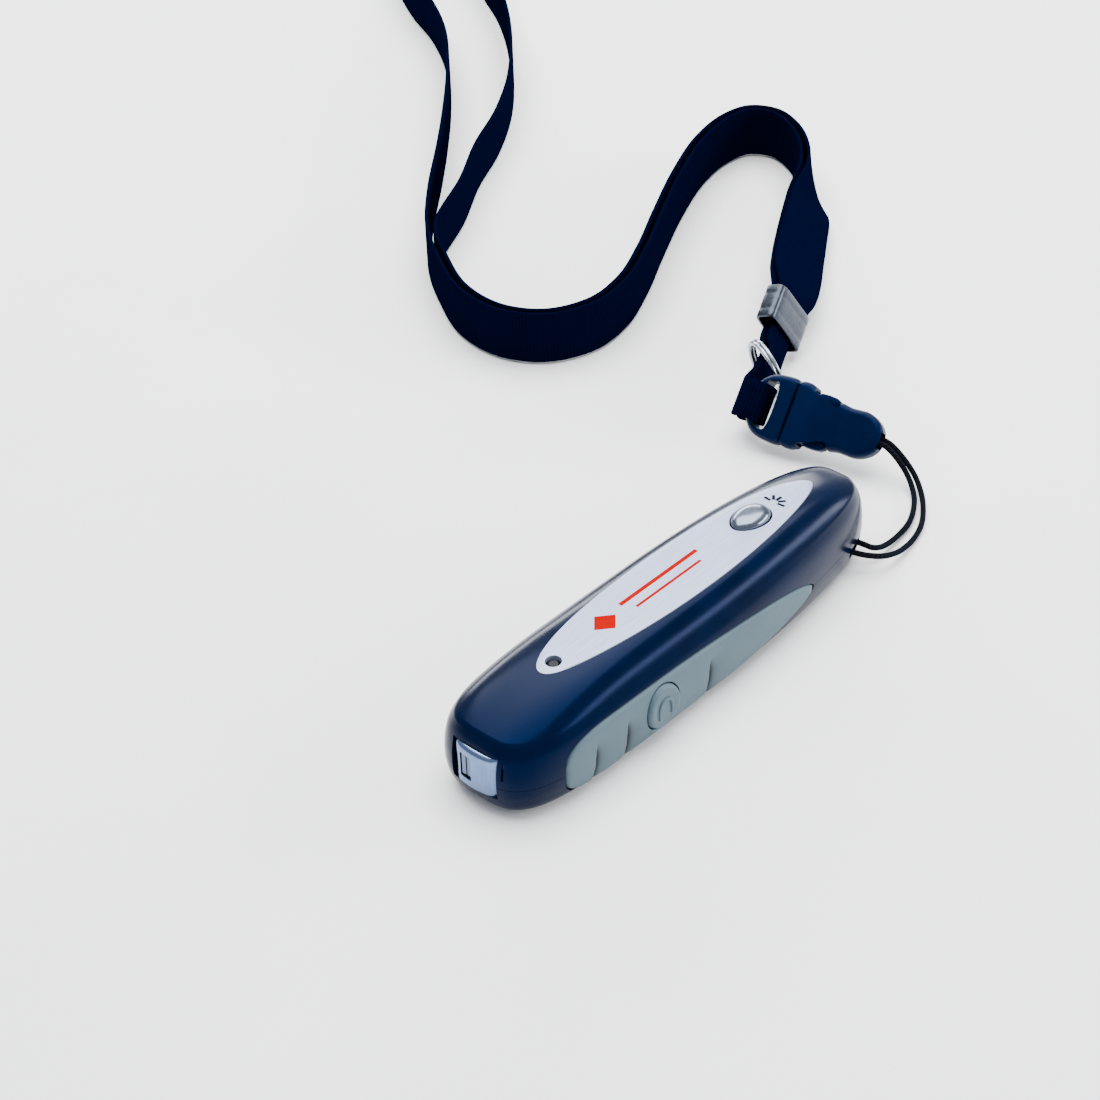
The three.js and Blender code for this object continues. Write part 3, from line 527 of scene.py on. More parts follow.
SHARED_ROUTE = [
    (from_crimp(-0.6), CRIMP_ACROSS), (from_crimp(-4.2), CRIMP_ACROSS),
    ((-55.9, 110.4, 10), (0.5, 0.45, -0.74)),
    ((-61.2, 118.2, 8.2), (0.68, 0.47, -0.56)), ((-67.6, 127.6, 7), (0.72, 0.45, -0.53)),
    ((-74.2, 138, 6.8), (0.66, 0.44, -0.61)), ((-80.6, 148.2, 6.7), LEANING),
    ((-87, 157, 6.6), (0.2, 0.15, -0.97)),
    *(((x, y, EDGE_Z), DOWN) for x, y in [
        (-94.4, 164.4), (-102.6, 170.9), (-110.6, 173.6), (-116.6, 171), (-118.5, 163.6), (-116.4, 151),
        (-109.6, 134), (-100.6, 116), (-92.2, 100), (-86.8, 86.8), (-85.6, 75), (-90.2, 65),
        (-99.4, 60), (-112, 61), (-126, 68.4), (-138, 77.2)]),
]
FREE_LEFT = [
    (-150.4, 90.6), (-164.2, 108), (-176.4, 122.8), (-191.6, 140), (-208.6, 156.6), (-224, 167.4),
    (-240, 175.6), (-256, 186), (-268.9, 198.1), (-273, 208), (-268.9, 217.9),
    (-264.6, 220.8), (-260.6, 222.1), (-258.4, 222.2),
]
FREE_RIGHT = [
    (-149, 97.6), (-158.6, 113), (-166.6, 128.8), (-177.2, 145), (-190.6, 160.6), (-205.4, 175),
    (-219.6, 186.4), (-233, 195), (-243, 202.4), (-246.4, 210), (-250.6, 218.4),
    (-253.6, 221.1), (-256.8, 222.1), (-258.8, 222.2),
]

# %% Ribbon of webbing
RIBBON_SECTION = [(-0.5, 0.28), (-0.49, 0.42), (-0.47, 0.5), (-0.25, 0.5), (0, 0.5), (0.25, 0.5),
                  (0.47, 0.5),
                  (0.49, 0.42), (0.5, 0.28), (0.5, -0.28), (0.49, -0.42), (0.47, -0.5),
                  (0.25, -0.5), (0, -0.5),
                  (-0.25, -0.5), (-0.47, -0.5), (-0.49, -0.42), (-0.5, -0.28)]


def ribbon(name, stops, width, thick, shift, per_span, body, slot="webbing"):
    """A flat strap through (point, width direction) stops. Returns the piece and its middle line."""
    line = catmull([(*p, *w) for p, w in stops], per_span)
    middle = [Vector(v[:3]) for v in line]
    travel = directions(middle)
    rings, weave, path, along = [], [], [], 0.0
    for v, p, d in zip(line, middle, travel):
        w = Vector(v[3:]).normalized()
        n = d.cross(w).normalized()
        centre = p + n * shift
        if path:
            along += (centre - path[-1]).length
        path.append(centre)
        rings.append([tuple(centre + w * (a * width) + n * (b * thick)) for a, b in RIBBON_SECTION])
        weave += [(along, a * width, b * thick) for a, b in RIBBON_SECTION]
    piece = add_piece(name, *skin(rings), SATIN_WEBBING, body, slot)
    store_weave(piece, weave)
    return smooth(piece, 50), path


for name, free, side in (("neck_strap_left", FREE_LEFT, 1), ("neck_strap_right", FREE_RIGHT, -1)):
    stops = SHARED_ROUTE + [((x, y, EDGE_Z), DOWN) for x, y in free]
    strap, path = ribbon(name + "_webbing", stops, WEB_MM, WEB_THICK, LAYER * side, 14, "buckle_insert")
    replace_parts(strap, name)

# %% [markdown]
# ## Housing form
# The housing is a stack of rings. Each ring is the plan of the housing, blunt at the nose and
# boat-like at the tail, drawn in by an amount that depends on its height. Powers of a cosine
# give both ends from one formula, and the same formula later says how high the crown is.

# %% Housing form
LENGTH, WIDTH, RIDGE_Z, CROWN = 109.6, 27.7, 15.6, 4.4
NOSE_POWER, TAIL_POWER, SIDE_POWER, CROWN_POWER = 6.5, 1.8, 3.5, 5
WALL, FLOOR, ROOF, SEAM_Z, GAP = 1.8, 1.6, 1.6, 7, 0.3
SEAM_GAP = 0.09
SIDE_PROFILE = [(3.2, 0), (1.0, 1.7), (0.2, 4.4), (0, 7), (0.15, 10), (0.8, 13.2), (2, RIDGE_Z)]
SIDE_CURVE = catmull(SIDE_PROFILE, 5)
CROWN_SCALES = [0.985, 0.965, 0.945, 0.92, 0.89, 0.85, 0.8, 0.74, 0.67, 0.58, 0.48, 0.37, 0.25,
                0.12, 0.03]
SCREWS = [(8.3, -35), (-8.3, -35), (0, 37)]
PLAN_POINTS = 168


def plan_ring(inset, z, scale=1.0, count=PLAN_POINTS):
    ring = []
    for i in range(count):
        t = -math.cos(2 * math.pi * i / count)
        power = NOSE_POWER if t < 0 else TAIL_POWER
        w = WIDTH / 2 * max(0.0, 1 - abs(t) ** power) ** (1 / SIDE_POWER)
        side = 1 if i <= count / 2 else -1
        ring.append((side * w * (1 - 2 * inset / WIDTH) * scale, t * (LENGTH / 2 - inset) * scale, z))
    return ring


def inset_at(z):
    """How far the side is drawn in at height z."""
    for (i0, z0), (i1, z1) in zip(SIDE_CURVE, SIDE_CURVE[1:]):
        if z <= z1:
            return i0 + (i1 - i0) * max(0.0, z - z0) / (z1 - z0)
    return SIDE_CURVE[-1][0]


def housing_rings(inset=0.0, floor=0.0, roof=0.0, count=PLAN_POINTS):
    rings = [plan_ring(inset_at(floor) + inset, floor, count=count)]
    rings += [plan_ring(edge + inset, z, count=count)
              for edge, z in SIDE_CURVE if floor < z < RIDGE_Z - roof]
    rim = SIDE_CURVE[-1][0] + inset
    for s in [1.0, *CROWN_SCALES]:
        rings.append(plan_ring(rim, RIDGE_Z + CROWN * (1 - s ** CROWN_POWER) - roof, s, count))
    return rings


def side_x(y, z):
    """The housing's half width at a height and a place along it."""
    inset = inset_at(z)
    t = max(-1.0, min(1.0, y / (LENGTH / 2 - inset)))
    power = NOSE_POWER if t < 0 else TAIL_POWER
    return WIDTH / 2 * max(0.0, 1 - abs(t) ** power) ** (1 / SIDE_POWER) * (1 - 2 * inset / WIDTH)


def crown_z(x, y):
    """The crown's height over a point of the plan, found by halving."""
    low, high = 0.01, 1.2
    for _ in range(26):
        s = (low + high) / 2
        t = y / (s * (LENGTH / 2 - 2))
        power = NOSE_POWER if t < 0 else TAIL_POWER
        outside = abs(x / (s * (WIDTH / 2 - 2))) ** SIDE_POWER + abs(t) ** power > 1
        low, high = (s, high) if outside else (low, s)
    return RIDGE_Z + CROWN * (1 - low ** CROWN_POWER)


print("crown height over the middle, mm:", round(crown_z(0, 0), 2))

# %% [markdown]
# ## Outlines that several pieces share
# The name plate is a leaf, the grips are leaves with a blunt end, and both keys are ovals. A hole
# and the piece that fills it come from the same outline, grown a little for the hole, so the gap
# between them is even all the way round.

# %% Shared outlines
LABEL_Y, LABEL_HALF_LENGTH, LABEL_HALF_WIDTH, LABEL_TIP = 2.9, 40.6, 7.25, 1.136
LABEL_THICK, LABEL_PROUD = 0.9, 0.15
LABEL_NOSE_REACH, LABEL_NOSE_TIP = 39.2, 0.92
UV_Y, UV_HALF_LENGTH, UV_HALF_WIDTH, UV_RISE = 24.3, 4.8, 3.3, 1.5
LAMP_HOLE_Y, LAMP_HOLE_RADIUS = -32.7, 1.6
GRIP_NOSE, GRIP_TAIL, GRIP_Z, GRIP_HALF_HEIGHT, GRIP_POCKET, GRIP_PROUD = -43.9, 28.6, 6.9, 6.4, 0.9, 0.3
MG_Y, MG_Z, MG_HALF_LENGTH, MG_HALF_HEIGHT = -18.6, 7.6, 4.4, 4.6
HEAD_HALF_WIDTH, HEAD_BOTTOM, HEAD_TOP, HEAD_FRONT, HEAD_DEPTH = 5.2, 4.3, 12.8, -55, 8.5


def signed_power(v, power):
    return math.copysign(abs(v) ** power, v)


def oval(half_x, half_y, cx, cy, count=64, power=1.0):
    turns = [2 * math.pi * i / count for i in range(count)]
    return [(cx + half_x * signed_power(math.sin(a), power), cy - half_y * math.cos(a)) for a in turns]


def label_outline(grow, count=112):
    """The name plate's leaf: blunt round the indicator at the nose end, pointed at the tail."""
    points = []
    for i in range(count):
        c, s = math.cos(2 * math.pi * i / count), math.sin(2 * math.pi * i / count)
        reach, tip = (LABEL_NOSE_REACH, LABEL_NOSE_TIP) if c > 0 else (LABEL_HALF_LENGTH, LABEL_TIP)
        points.append(((LABEL_HALF_WIDTH + grow) * signed_power(s, tip), LABEL_Y - (reach + grow) * c))
    return points


def crown_rings(outline, centre, levels):
    """Rings of an outline shrunk towards its centre, each at its own height over the crown."""
    rings = []
    for scale, lift in levels:
        ring = [((x - centre[0]) * scale + centre[0], (y - centre[1]) * scale + centre[1])
                for x, y in outline]
        rings.append([(x, y, crown_z(x, y) + lift) for x, y in ring])
    return rings


def uv_outline(grow, count=64):
    """A rounded teardrop, a little narrower towards the nose."""
    points = []
    for x, y in oval(UV_HALF_WIDTH + grow, UV_HALF_LENGTH + grow, 0, UV_Y, count, 1.05):
        points.append((x * (1 + 0.1 * (y - UV_Y) / UV_HALF_LENGTH), y))
    return points


def grip_outline(grow, count=96):
    """The grip's leaf as (y, z): blunt towards the nose, pointed at the tail."""
    middle = GRIP_NOSE + 14
    points = []
    for i in range(count):
        c, s = math.cos(2 * math.pi * i / count), math.sin(2 * math.pi * i / count)
        reach = middle - GRIP_NOSE if c < 0 else GRIP_TAIL - middle
        y = middle + signed_power(c, 0.75 if c < 0 else 0.8) * (reach + grow)
        z = GRIP_Z + signed_power(s, 0.62 if c < 0 else 1.12) * (GRIP_HALF_HEIGHT + grow)
        points.append((y, z))
    return points


def mg_outline(grow, count=64):
    return oval(MG_HALF_LENGTH + grow, MG_HALF_HEIGHT + grow, MG_Y, MG_Z, count)


def side_tool(outline, side, x0=5.0, x1=20.0):
    """An outline of (y, z) made solid through one side wall."""
    return tool_shape([[(side * x, y, z) for y, z in outline] for x in (x0, x1)])


def upright_tool(outline, z0, z1):
    return tool_shape([[(x, y, z) for x, y in outline] for z in (z0, z1)])


print("name plate, mm:", 2 * LABEL_HALF_LENGTH, "by", 2 * LABEL_HALF_WIDTH)

# %% [markdown]
# ## The two half shells
# Each half is moulded with a thin wall. The solid form is hollowed, cut at the seam and then given
# its pockets and holes. Gloss shows every dent, so where a face still lies on the original form,
# the exact normal of that form is written to it: the cuts then leave no ripples in the shine.

# %% Shell helpers
from mathutils.bvhtree import BVHTree
from mathutils.interpolate import poly_3d_calc

FORM = add_piece("form", *skin(housing_rings()), None, None, None)
FORM_TREE = BVHTree.FromObject(FORM, bpy.context.evaluated_depsgraph_get())


def form_normal(place):
    """The smooth normal of the housing's form at the nearest point, and how far off that point is."""
    nearest, normal, index, gap = FORM_TREE.find_nearest(place)
    corners = [FORM.data.vertices[v] for v in FORM.data.polygons[index].vertices]
    if len(corners) > 6:
        return normal, normal, gap
    weights = poly_3d_calc([v.co for v in corners], nearest)
    blended = sum((v.normal * w for v, w in zip(corners, weights)), Vector())
    return blended.normalized(), normal, gap


def keep_form_normals(piece, tolerance_mm=0.02):
    """Faces that still lie on the housing's form shade exactly as the uncut form does."""
    smooth(piece, 30)
    mesh = piece.data
    normals = [(0, 0, 0)] * len(mesh.loops)
    kept = 0
    for face in mesh.polygons:
        _, flat, gap = form_normal(face.center)
        if gap > tolerance_mm * MM or flat.dot(face.normal) < 0.9:
            continue
        kept += 1
        for loop in face.loop_indices:
            normals[loop] = form_normal(mesh.vertices[mesh.loops[loop].vertex_index].co)[0]
    mesh.normals_split_custom_set(normals)
    print(piece.name, "faces:", len(mesh.polygons), "on the form:", kept)
    return piece


def grip_pocket(side):
    pocket = side_tool(grip_outline(GAP), side)
    floor_of_pocket = tool_shape(housing_rings(GRIP_POCKET, count=96))
    return boolean(pocket, [floor_of_pocket])


def head_window():
    half = HEAD_HALF_WIDTH + 0.2
    return tool_box(-half, half, -60, -48, HEAD_BOTTOM - 0.2, HEAD_TOP + 0.2)


def shell_blank(name, body_z0, body_z1):
    shell = add_piece(name, *skin(housing_rings()), HOUSING_ABS, "housing", "navy_housing")
    cavity = tool_shape(housing_rings(WALL, FLOOR, ROOF, 72))
    boolean(shell, [cavity])
    return boolean(shell, [tool_box(-30, 30, -80, 80, body_z0, body_z1)], "INTERSECT")


# %% [markdown]
# The upper half carries the name plate's bed, the holes for both keys and the indicator, and a
# shallow step over the magnetic head, where the real moulding has a small lip.

# %% Upper shell
upper = shell_blank("upper_housing", SEAM_Z + SEAM_GAP / 2, 40)
label_levels = [(0.3, -1.2), (0.7, -1.2), (1, -1.2), (1, 3), (0.3, 3)]
label_bed = tool_shape(crown_rings(label_outline(0.14), (0, LABEL_Y), label_levels))
lip = tool_box(-HEAD_HALF_WIDTH - 1.6, HEAD_HALF_WIDTH + 1.6, -60, -53.9, HEAD_TOP + GAP, 14.4)
boolean(upper, [grip_pocket(1), grip_pocket(-1)])
boolean(upper, [side_tool(mg_outline(GAP), 1, 9.4), label_bed])
boolean(upper, [upright_tool(uv_outline(GAP), 15, 24), upright_tool(
    [(x, y) for x, y, _ in disc(LAMP_HOLE_RADIUS + GAP, 0, LAMP_HOLE_Y, 0)], 15, 24)])
boolean(upper, [head_window(), lip])
SLIT_OUT_MM, SLIT_WIDTH = 1.1, 0.45
SLIT_X = HEAD_HALF_WIDTH + SLIT_OUT_MM
boolean(upper, [tool_box(SLIT_X, SLIT_X + SLIT_WIDTH, -60, -53.5, 8.9, 12.3)])
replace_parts(keep_form_normals(upper), "upper_shell")

# %% [markdown]
# The lower half holds the battery bay, the lamp's window and three sunk screws. The cord leaves
# through a slot in its tail.

# %% Lower shell
DOOR_HALF_WIDTH, DOOR_FRONT, DOOR_THICK = 9.2, -15.7, 1.45
LAMP_Y = -42.2
lower = shell_blank("lower_housing", -5, SEAM_Z - SEAM_GAP / 2)
shelf = boolean(tool_box(-9, 9, 34.5, 52, DOOR_THICK + GAP, 2.9),
                [tool_shape(housing_rings(0.9, count=72))], "INTERSECT")
boolean(lower, [shelf], "UNION")
boolean(lower, [grip_pocket(1), grip_pocket(-1)])
boolean(lower, [side_tool(mg_outline(GAP), 1, 9.4), head_window()])
half = DOOR_HALF_WIDTH + GAP
boolean(lower, [tool_box(-half, half, DOOR_FRONT - GAP, 70, -2, DOOR_THICK + GAP)])
boolean(lower, [tool_box(-10.2, 10.2, DOOR_FRONT + 2.7, 60, 0.35, 1.3),
                tool_box(5.4, 16, 44, 50, 3.2, 5.6)])
boolean(lower, [tool_shape([disc(3.5, 0, LAMP_Y, z) for z in (-1, 1.05)])])
boolean(lower, [tool_shape([disc(2.8, 0, LAMP_Y, z) for z in (-1, 6)])])
for x, y in SCREWS:
    boolean(lower, [tool_shape([disc(2.4, x, y, z, 32) for z in (-1, 3.4)])])
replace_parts(keep_form_normals(lower), "lower_shell")

# %% [markdown]
# The battery door is the part of the underside that slides off towards the tail. Four grooves
# give the thumb something to push.

# %% Battery door
door = add_piece("battery_door_plate", *skin(housing_rings()), HOUSING_ABS, "door", "navy_housing")
boolean(door, [tool_box(-DOOR_HALF_WIDTH, DOOR_HALF_WIDTH, DOOR_FRONT, 70, -1, DOOR_THICK)],
        "INTERSECT")
tongues = boolean(tool_box(-9.9, 9.9, DOOR_FRONT + 3, 27, 0.65, 1.0),
                  [tool_shape(housing_rings(0.3, count=72))],
                  "INTERSECT")
boolean(door, [tongues], "UNION")
boolean(door, [tool_box(-4, 4, 21 + 2.4 * k, 22.2 + 2.4 * k, -1, 0.5) for k in range(4)])
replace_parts(keep_form_normals(door), "battery_door")
bpy.data.objects.remove(FORM)

# %% [markdown]
# ## Side grips
# The grips are soft rubber pads set into the housing. Each is a skin of shrinking leaf outlines
# laid over the side wall. The edge rounds over into the gap, and three tapered creases, deepest
# at the lower edge, break the surface as on the real pad, which is moulded in overlapping steps.

# %% Side grips
CREASES = [(-36.6, 0.7), (-28.3, 0.9), (-4.9, 0.9)]
GRIP_MIDDLE = GRIP_NOSE + 14
GRIP_ROUND = 0.8
GRIP_STEP = 0.25
ACROSS_STEPS = 26


def grip_half_height(y):
    """Half the height of the grip's leaf at a place along it."""
    nose_end = y < GRIP_MIDDLE
    reach = GRIP_MIDDLE - GRIP_NOSE if nose_end else GRIP_TAIL - GRIP_MIDDLE
    c = min(1.0, abs(y - GRIP_MIDDLE) / reach) ** (1 / (0.75 if nose_end else 0.8))
    return GRIP_HALF_HEIGHT * math.sqrt(1 - c * c) ** (0.62 if nose_end else 1.12)


def crease_depth(y, z):
    """Each crease is a step: it drops sharply on one side and fades out on the other."""
    fade = min(1.0, max(0.0, (10.2 - z) / 3.0))
    depth = 0.0
    for at, most in CREASES:
        offset = y - at - 0.08 * (z - GRIP_Z)
        if offset < 0:
            slope = math.exp(-(offset / 0.25) ** 2)
        else:
            slope = 0.7 * math.exp(-offset / 0.4) + 0.3 * math.exp(-offset / 2.4)
        depth = max(depth, most * fade * slope)
    return depth


def grip_pad(side):
    """Sections of the pad from nose to tail: across the face, then back along the hidden side."""
    ends = [0.02, 0.06, 0.12, 0.2, 0.3, 0.42, 0.56]
    steps = int((GRIP_TAIL - GRIP_NOSE - 1.6) / GRIP_STEP)
    stations = [GRIP_NOSE + e for e in ends]
    stations += [GRIP_NOSE + 0.8 + GRIP_STEP * k for k in range(steps + 1)]
    stations += [GRIP_TAIL - e for e in reversed(ends)]
    rings = []
    for y in stations:
        half = max(0.02, grip_half_height(y))
        to_end = min(y - GRIP_NOSE, (GRIP_TAIL - y) * 0.35)
        ring = []
        for k in range(ACROSS_STEPS + 1):
            u = math.sin(math.pi * (k / ACROSS_STEPS - 0.5))
            z = GRIP_Z + u * half
            rim = min(1.0, min(half * (1 - abs(u)), to_end) / GRIP_ROUND)
            lift = -0.4 + (GRIP_PROUD + 0.4) * math.sqrt(1 - (1 - rim) ** 2)
            ring.append((side * (side_x(y, z) + lift - rim * crease_depth(y, z)), y, z))
        for z in (GRIP_Z + half, GRIP_Z, GRIP_Z - half):
            ring.append((side * (side_x(y, z) - 0.58), y, z))
        rings.append(ring)
    return rings


def store_creases(pad):
    """Keeps how deep each vertex lies in a crease, from 0 to 1, for the finish's painted shade."""
    depths = [min(1.0, crease_depth(v.co.y / MM, v.co.z / MM) / 0.45) for v in pad.data.vertices]
    pad.data.attributes.new("crease", "FLOAT", "POINT").data.foreach_set("value", depths)


for name, side in (("right_grip", 1), ("left_grip", -1)):
    pad = add_piece(name + "_pad", *skin(grip_pad(side)), GRIP_TPE, "housing", "grip_rubber")
    if side == 1:
        boolean(pad, [side_tool(mg_outline(GAP), side)])
    store_creases(pad)
    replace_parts(smooth(pad, 34), name)

# %% [markdown]
# ## The magnetic-ink key
# This key is a raised rubber oval with a rolled rim and a low plateau. The mark on it is a plain
# horseshoe magnet, embossed in the same rubber.

# %% Magnetic-ink key
MG_LEVELS = [(1, -1.4), (1, 0.1), (0.985, 0.42), (0.955, 0.68), (0.91, 0.88), (0.85, 0.99), (0.78, 1.0),
             (0.7, 0.93), (0.6, 0.86), (0.48, 0.84), (0.34, 0.84), (0.2, 0.84), (0.07, 0.84)]
rings = []
for scale, lift in MG_LEVELS:
    ring = [((y - MG_Y) * scale + MG_Y, (z - MG_Z) * scale + MG_Z) for y, z in mg_outline(0, 96)]
    rings.append([(side_x(y, z) + lift, y, z) for y, z in ring])
mg_pad = smooth(add_piece("mg_key_pad", *skin(rings), GRIP_TPE, "mg_key", "grip_rubber"), 50)
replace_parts(mg_pad, "mg_button")


def raised_line(name, points, radius, material, body, slot):
    """A fine embossed line: a half-sunk rounded bar along points."""
    return tube(name, catmull(points, 6), radius, 8, material, body, slot)


magnet = [(-1.7, -1.9), (-1.7, 0.2), (-1.3, 1.3), (-0.5, 1.85), (0.5, 1.85), (1.3, 1.3),
          (1.7, 0.2), (1.7, -1.9)]
mg_mark = [[side_x(MG_Y + y, MG_Z + z) + 0.9, MG_Y + y, MG_Z + z] for y, z in magnet]
raised_line("mg_key_magnet_mark", mg_mark, 0.3, GRIP_TPE, "mg_key", "grip_rubber")

# %% [markdown]
# ## Name plate
# The plate is a thin leaf of brushed aluminium that follows the crown. Its cut edge is bevelled,
# which gives the bright line round it. Where the maker's printing would be, it carries only a
# plain red diamond with two bars.

# %% Name plate
plate_levels = [(0.3, -LABEL_THICK), (0.7, -LABEL_THICK), (1, -LABEL_THICK),
                (1, LABEL_PROUD - 0.1), (0.99, LABEL_PROUD)]
plate_levels += [(s, LABEL_PROUD) for s in (0.93, 0.84, 0.72, 0.58, 0.42, 0.25, 0.1)]
plate = add_piece("name_plate", *skin(crown_rings(label_outline(0), (0, LABEL_Y), plate_levels)),
                  LABEL_ALUMINIUM, "housing", "brushed_label")
boolean(plate, [upright_tool(uv_outline(GAP), 14, 24), tool_shape(
    [disc(LAMP_HOLE_RADIUS, 0, LAMP_HOLE_Y, z) for z in (14, 24)])])
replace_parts(smooth(plate, 30), "label_plate")


def printed(name, outline, material):
    """A flat printed patch that lies on the plate: a strip of quads between two matched edges."""
    left, right = outline
    verts = []
    for x, y in [*left, *right]:
        verts.append((x, y, crown_z(x, y) + LABEL_PROUD + 0.02))
    count = len(left)
    faces = [(i, i + 1, count + i + 1, count + i) for i in range(count - 1)]
    piece = add_piece(name, verts, faces, material, "housing", "brushed_label")
    step = piece.modifiers.new("ink", "SOLIDIFY")
    step.thickness = 0.03 * MM
    apply_modifiers(piece)
    return piece


def bar_outline(x, y0, y1, width, count=24):
    ys = [y0 + (y1 - y0) * i / (count - 1) for i in range(count)]
    return [(x - width / 2, y) for y in ys], [(x + width / 2, y) for y in ys]


diamond = ([(0, -21.5), (-1.3, -20), (-2.6, -18.5), (-1.3, -17), (0, -15.5)],
           [(0, -21.5), (1.3, -20), (2.6, -18.5), (1.3, -17), (0, -15.5)])
printed("plain_red_diamond", diamond, RED_INK)
printed("plain_red_bar_long", bar_outline(-1.3, -12.8, 9.5, 0.9), RED_INK)
printed("plain_red_bar_short", bar_outline(1.4, -11.2, 7.5, 0.6), RED_INK)
for k, (dx, dy) in enumerate([(-1.6, 0.2), (-1.15, 1.5), (0, 2.1), (1.15, 1.5), (1.6, 0.2)]):
    length = math.hypot(dx, dy)
    base = Vector((dx, dy)) * (1.0 / length)
    across = Vector((-base.y, base.x)) * 0.3
    start, end = Vector((0, 31.6)) + base * 0.9, Vector((0, 31.6)) + base * 2.5
    printed(f"ultraviolet_ray_mark_{k + 1}", ([tuple(start - across), tuple(end - across)],
                                              [tuple(start + across), tuple(end + across)]), GREY_INK)

# %% [markdown]
# ## Ultraviolet key
# The key is a polished chrome dome. It is lofted from the same rounded teardrop as its hole, with a
# steep wall and a dome that flattens slowly, so it mirrors the softbox as one broad highlight.

# %% Ultraviolet key
uv_top = crown_z(0, UV_Y) + LABEL_PROUD
UV_LEVELS = [(1, -1.6), (1, 0.0), (0.985, 0.22), (0.95, 0.48), (0.89, 0.74), (0.8, 1.0),
             (0.68, 1.22), (0.54, 1.37),
             (0.38, 1.46), (0.2, 1.49), (0.05, UV_RISE)]
rings = []
for scale, lift in UV_LEVELS:
    rings.append([(x * scale, (y - UV_Y) * scale + UV_Y, uv_top + lift) for x, y in uv_outline(0, 96)])
rings.insert(0, [(x, y, 17.0) for x, y in uv_outline(-0.3, 96)])
uv_dome = smooth(add_piece("uv_key_dome", *skin(rings), CHROME_PLATE, "uv_key", "chrome"), 50)
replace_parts(uv_dome, "uv_button")

# %% [markdown]
# ## Magnetic head
# The head is a lapped steel block with a gently curved face and a narrow slot where the core's gap
# shows. Its edges are rounded enough to catch a bright line along the top.

# %% Magnetic head
front = HEAD_FRONT
HEAD_EDGE = 1.15
head_outline = catmull([(-HEAD_HALF_WIDTH, front + 1.6), (-4.0, front + 0.6), (-1.6, front + 0.05),
                        (1.6, front + 0.05), (4.0, front + 0.6), (HEAD_HALF_WIDTH, front + 1.6)], 6)
head_outline = [tuple(p) for p in head_outline]
head_outline += [(HEAD_HALF_WIDTH, front + HEAD_DEPTH), (-HEAD_HALF_WIDTH, front + HEAD_DEPTH)]
head_rings = [[(x, y, HEAD_BOTTOM) for x, y in head_outline]]
for k in range(7):
    a = math.pi / 2 * k / 6
    push = HEAD_EDGE * (1 - math.cos(a))
    z = HEAD_TOP - HEAD_EDGE + HEAD_EDGE * math.sin(a)
    head_rings.append([(x, y + (push if y < front + 3 else 0), z) for x, y in head_outline])
head = add_piece("head_face", *skin(head_rings), HEAD_STEEL, "housing", "chrome")
boolean(head, [tool_box(-4.4, 4.4, front + 1.8, front + 12, HEAD_BOTTOM + 0.8, HEAD_TOP - 0.8),
               tool_box(-3.1, -0.3, front - 2, front + 3, HEAD_BOTTOM + 1.4, HEAD_TOP - 1.7)])
bevel(head, 0.2, 3, 50)
apply_modifiers(head)
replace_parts(smooth(head, 40), "head_can")

# %% [markdown]
# ## Side-release buckle
# The buckle is drawn flat in its own frame and then turned into place, because its outline is only
# simple there. Acetal mouldings have generous radii, so each half is a pillow: an outline whose
# rings draw in along a quarter circle towards both faces.

# %% Buckle frame
BUCKLE_AT, BUCKLE_TURN, BUCKLE_ROLL, BUCKLE_HALF_THICK = Vector((-27.5, 73.4, 7.6)), 9, 46.6, 2.2
turn_c, turn_s = math.cos(math.radians(BUCKLE_TURN)), math.sin(math.radians(BUCKLE_TURN))
roll_c, roll_s = math.cos(math.radians(BUCKLE_ROLL)), math.sin(math.radians(BUCKLE_ROLL))
BUCKLE_X = Vector((turn_c, turn_s, 0))
BUCKLE_Y = Vector((-turn_s * roll_c, turn_c * roll_c, roll_s))
BUCKLE_Z = BUCKLE_X.cross(BUCKLE_Y)


def in_buckle(x, y, z):
    return BUCKLE_AT + BUCKLE_X * x + BUCKLE_Y * y + BUCKLE_Z * z


def mirrored(half):
    return [*half, *[(x, -y) for x, y in reversed(half[:-1])]]


def draw_in(outline, distance):
    """Moves a closed outline inwards along its own normals, hardly at all along the seam at x = 0."""
    area = sum(a[0] * b[1] - b[0] * a[1] for a, b in zip(outline, outline[1:] + outline[:1]))
    made = []
    for i, (x, y) in enumerate(outline):
        a, b = outline[i - 1], outline[(i + 1) % len(outline)]
        along = Vector((b[0] - a[0], b[1] - a[1])).normalized() * math.copysign(1, area)
        inward = Vector((-along.y, along.x)) * distance
        inward.x *= min(1.0, 0.15 + abs(x) / 4)
        made.append((x + inward.x, y + inward.y))
    return made


def pillow(name, outline, half_thick, radius, body, steps=6):
    """A flat moulding with rounded rims, placed in the buckle's frame."""
    rings = []
    for side in (-1, 1):
        for k in range(steps + 1):
            a = math.pi / 2 * (k / steps if side > 0 else 1 - k / steps)
            z = side * (half_thick - radius + radius * math.sin(a))
            rings.append([tuple(in_buckle(x, y, z))
                          for x, y in draw_in(outline, radius * (1 - math.cos(a)))])
    return add_piece(name, *skin(rings), BUCKLE_ACETAL, body, "navy_buckle")


def merge_flats(piece):
    """Joins the coplanar slivers that cutting leaves, which would shade as dark lines."""
    builder = bmesh.new()
    builder.from_mesh(piece.data)
    bmesh.ops.remove_doubles(builder, verts=builder.verts, dist=0.02 * MM)
    bmesh.ops.dissolve_degenerate(builder, dist=0.01 * MM, edges=builder.edges)
    bmesh.ops.dissolve_limit(builder, angle_limit=math.radians(1.2), verts=builder.verts,
                             edges=builder.edges)
    builder.to_mesh(piece.data)
    builder.free()


def buckle_box(x0, x1, y0, y1, z0, z1):
    corners = [(x0, y0), (x1, y0), (x1, y1), (x0, y1)]
    return tool_shape([[tuple(in_buckle(x, y, z)) for x, y in corners] for z in (z0, z1)])


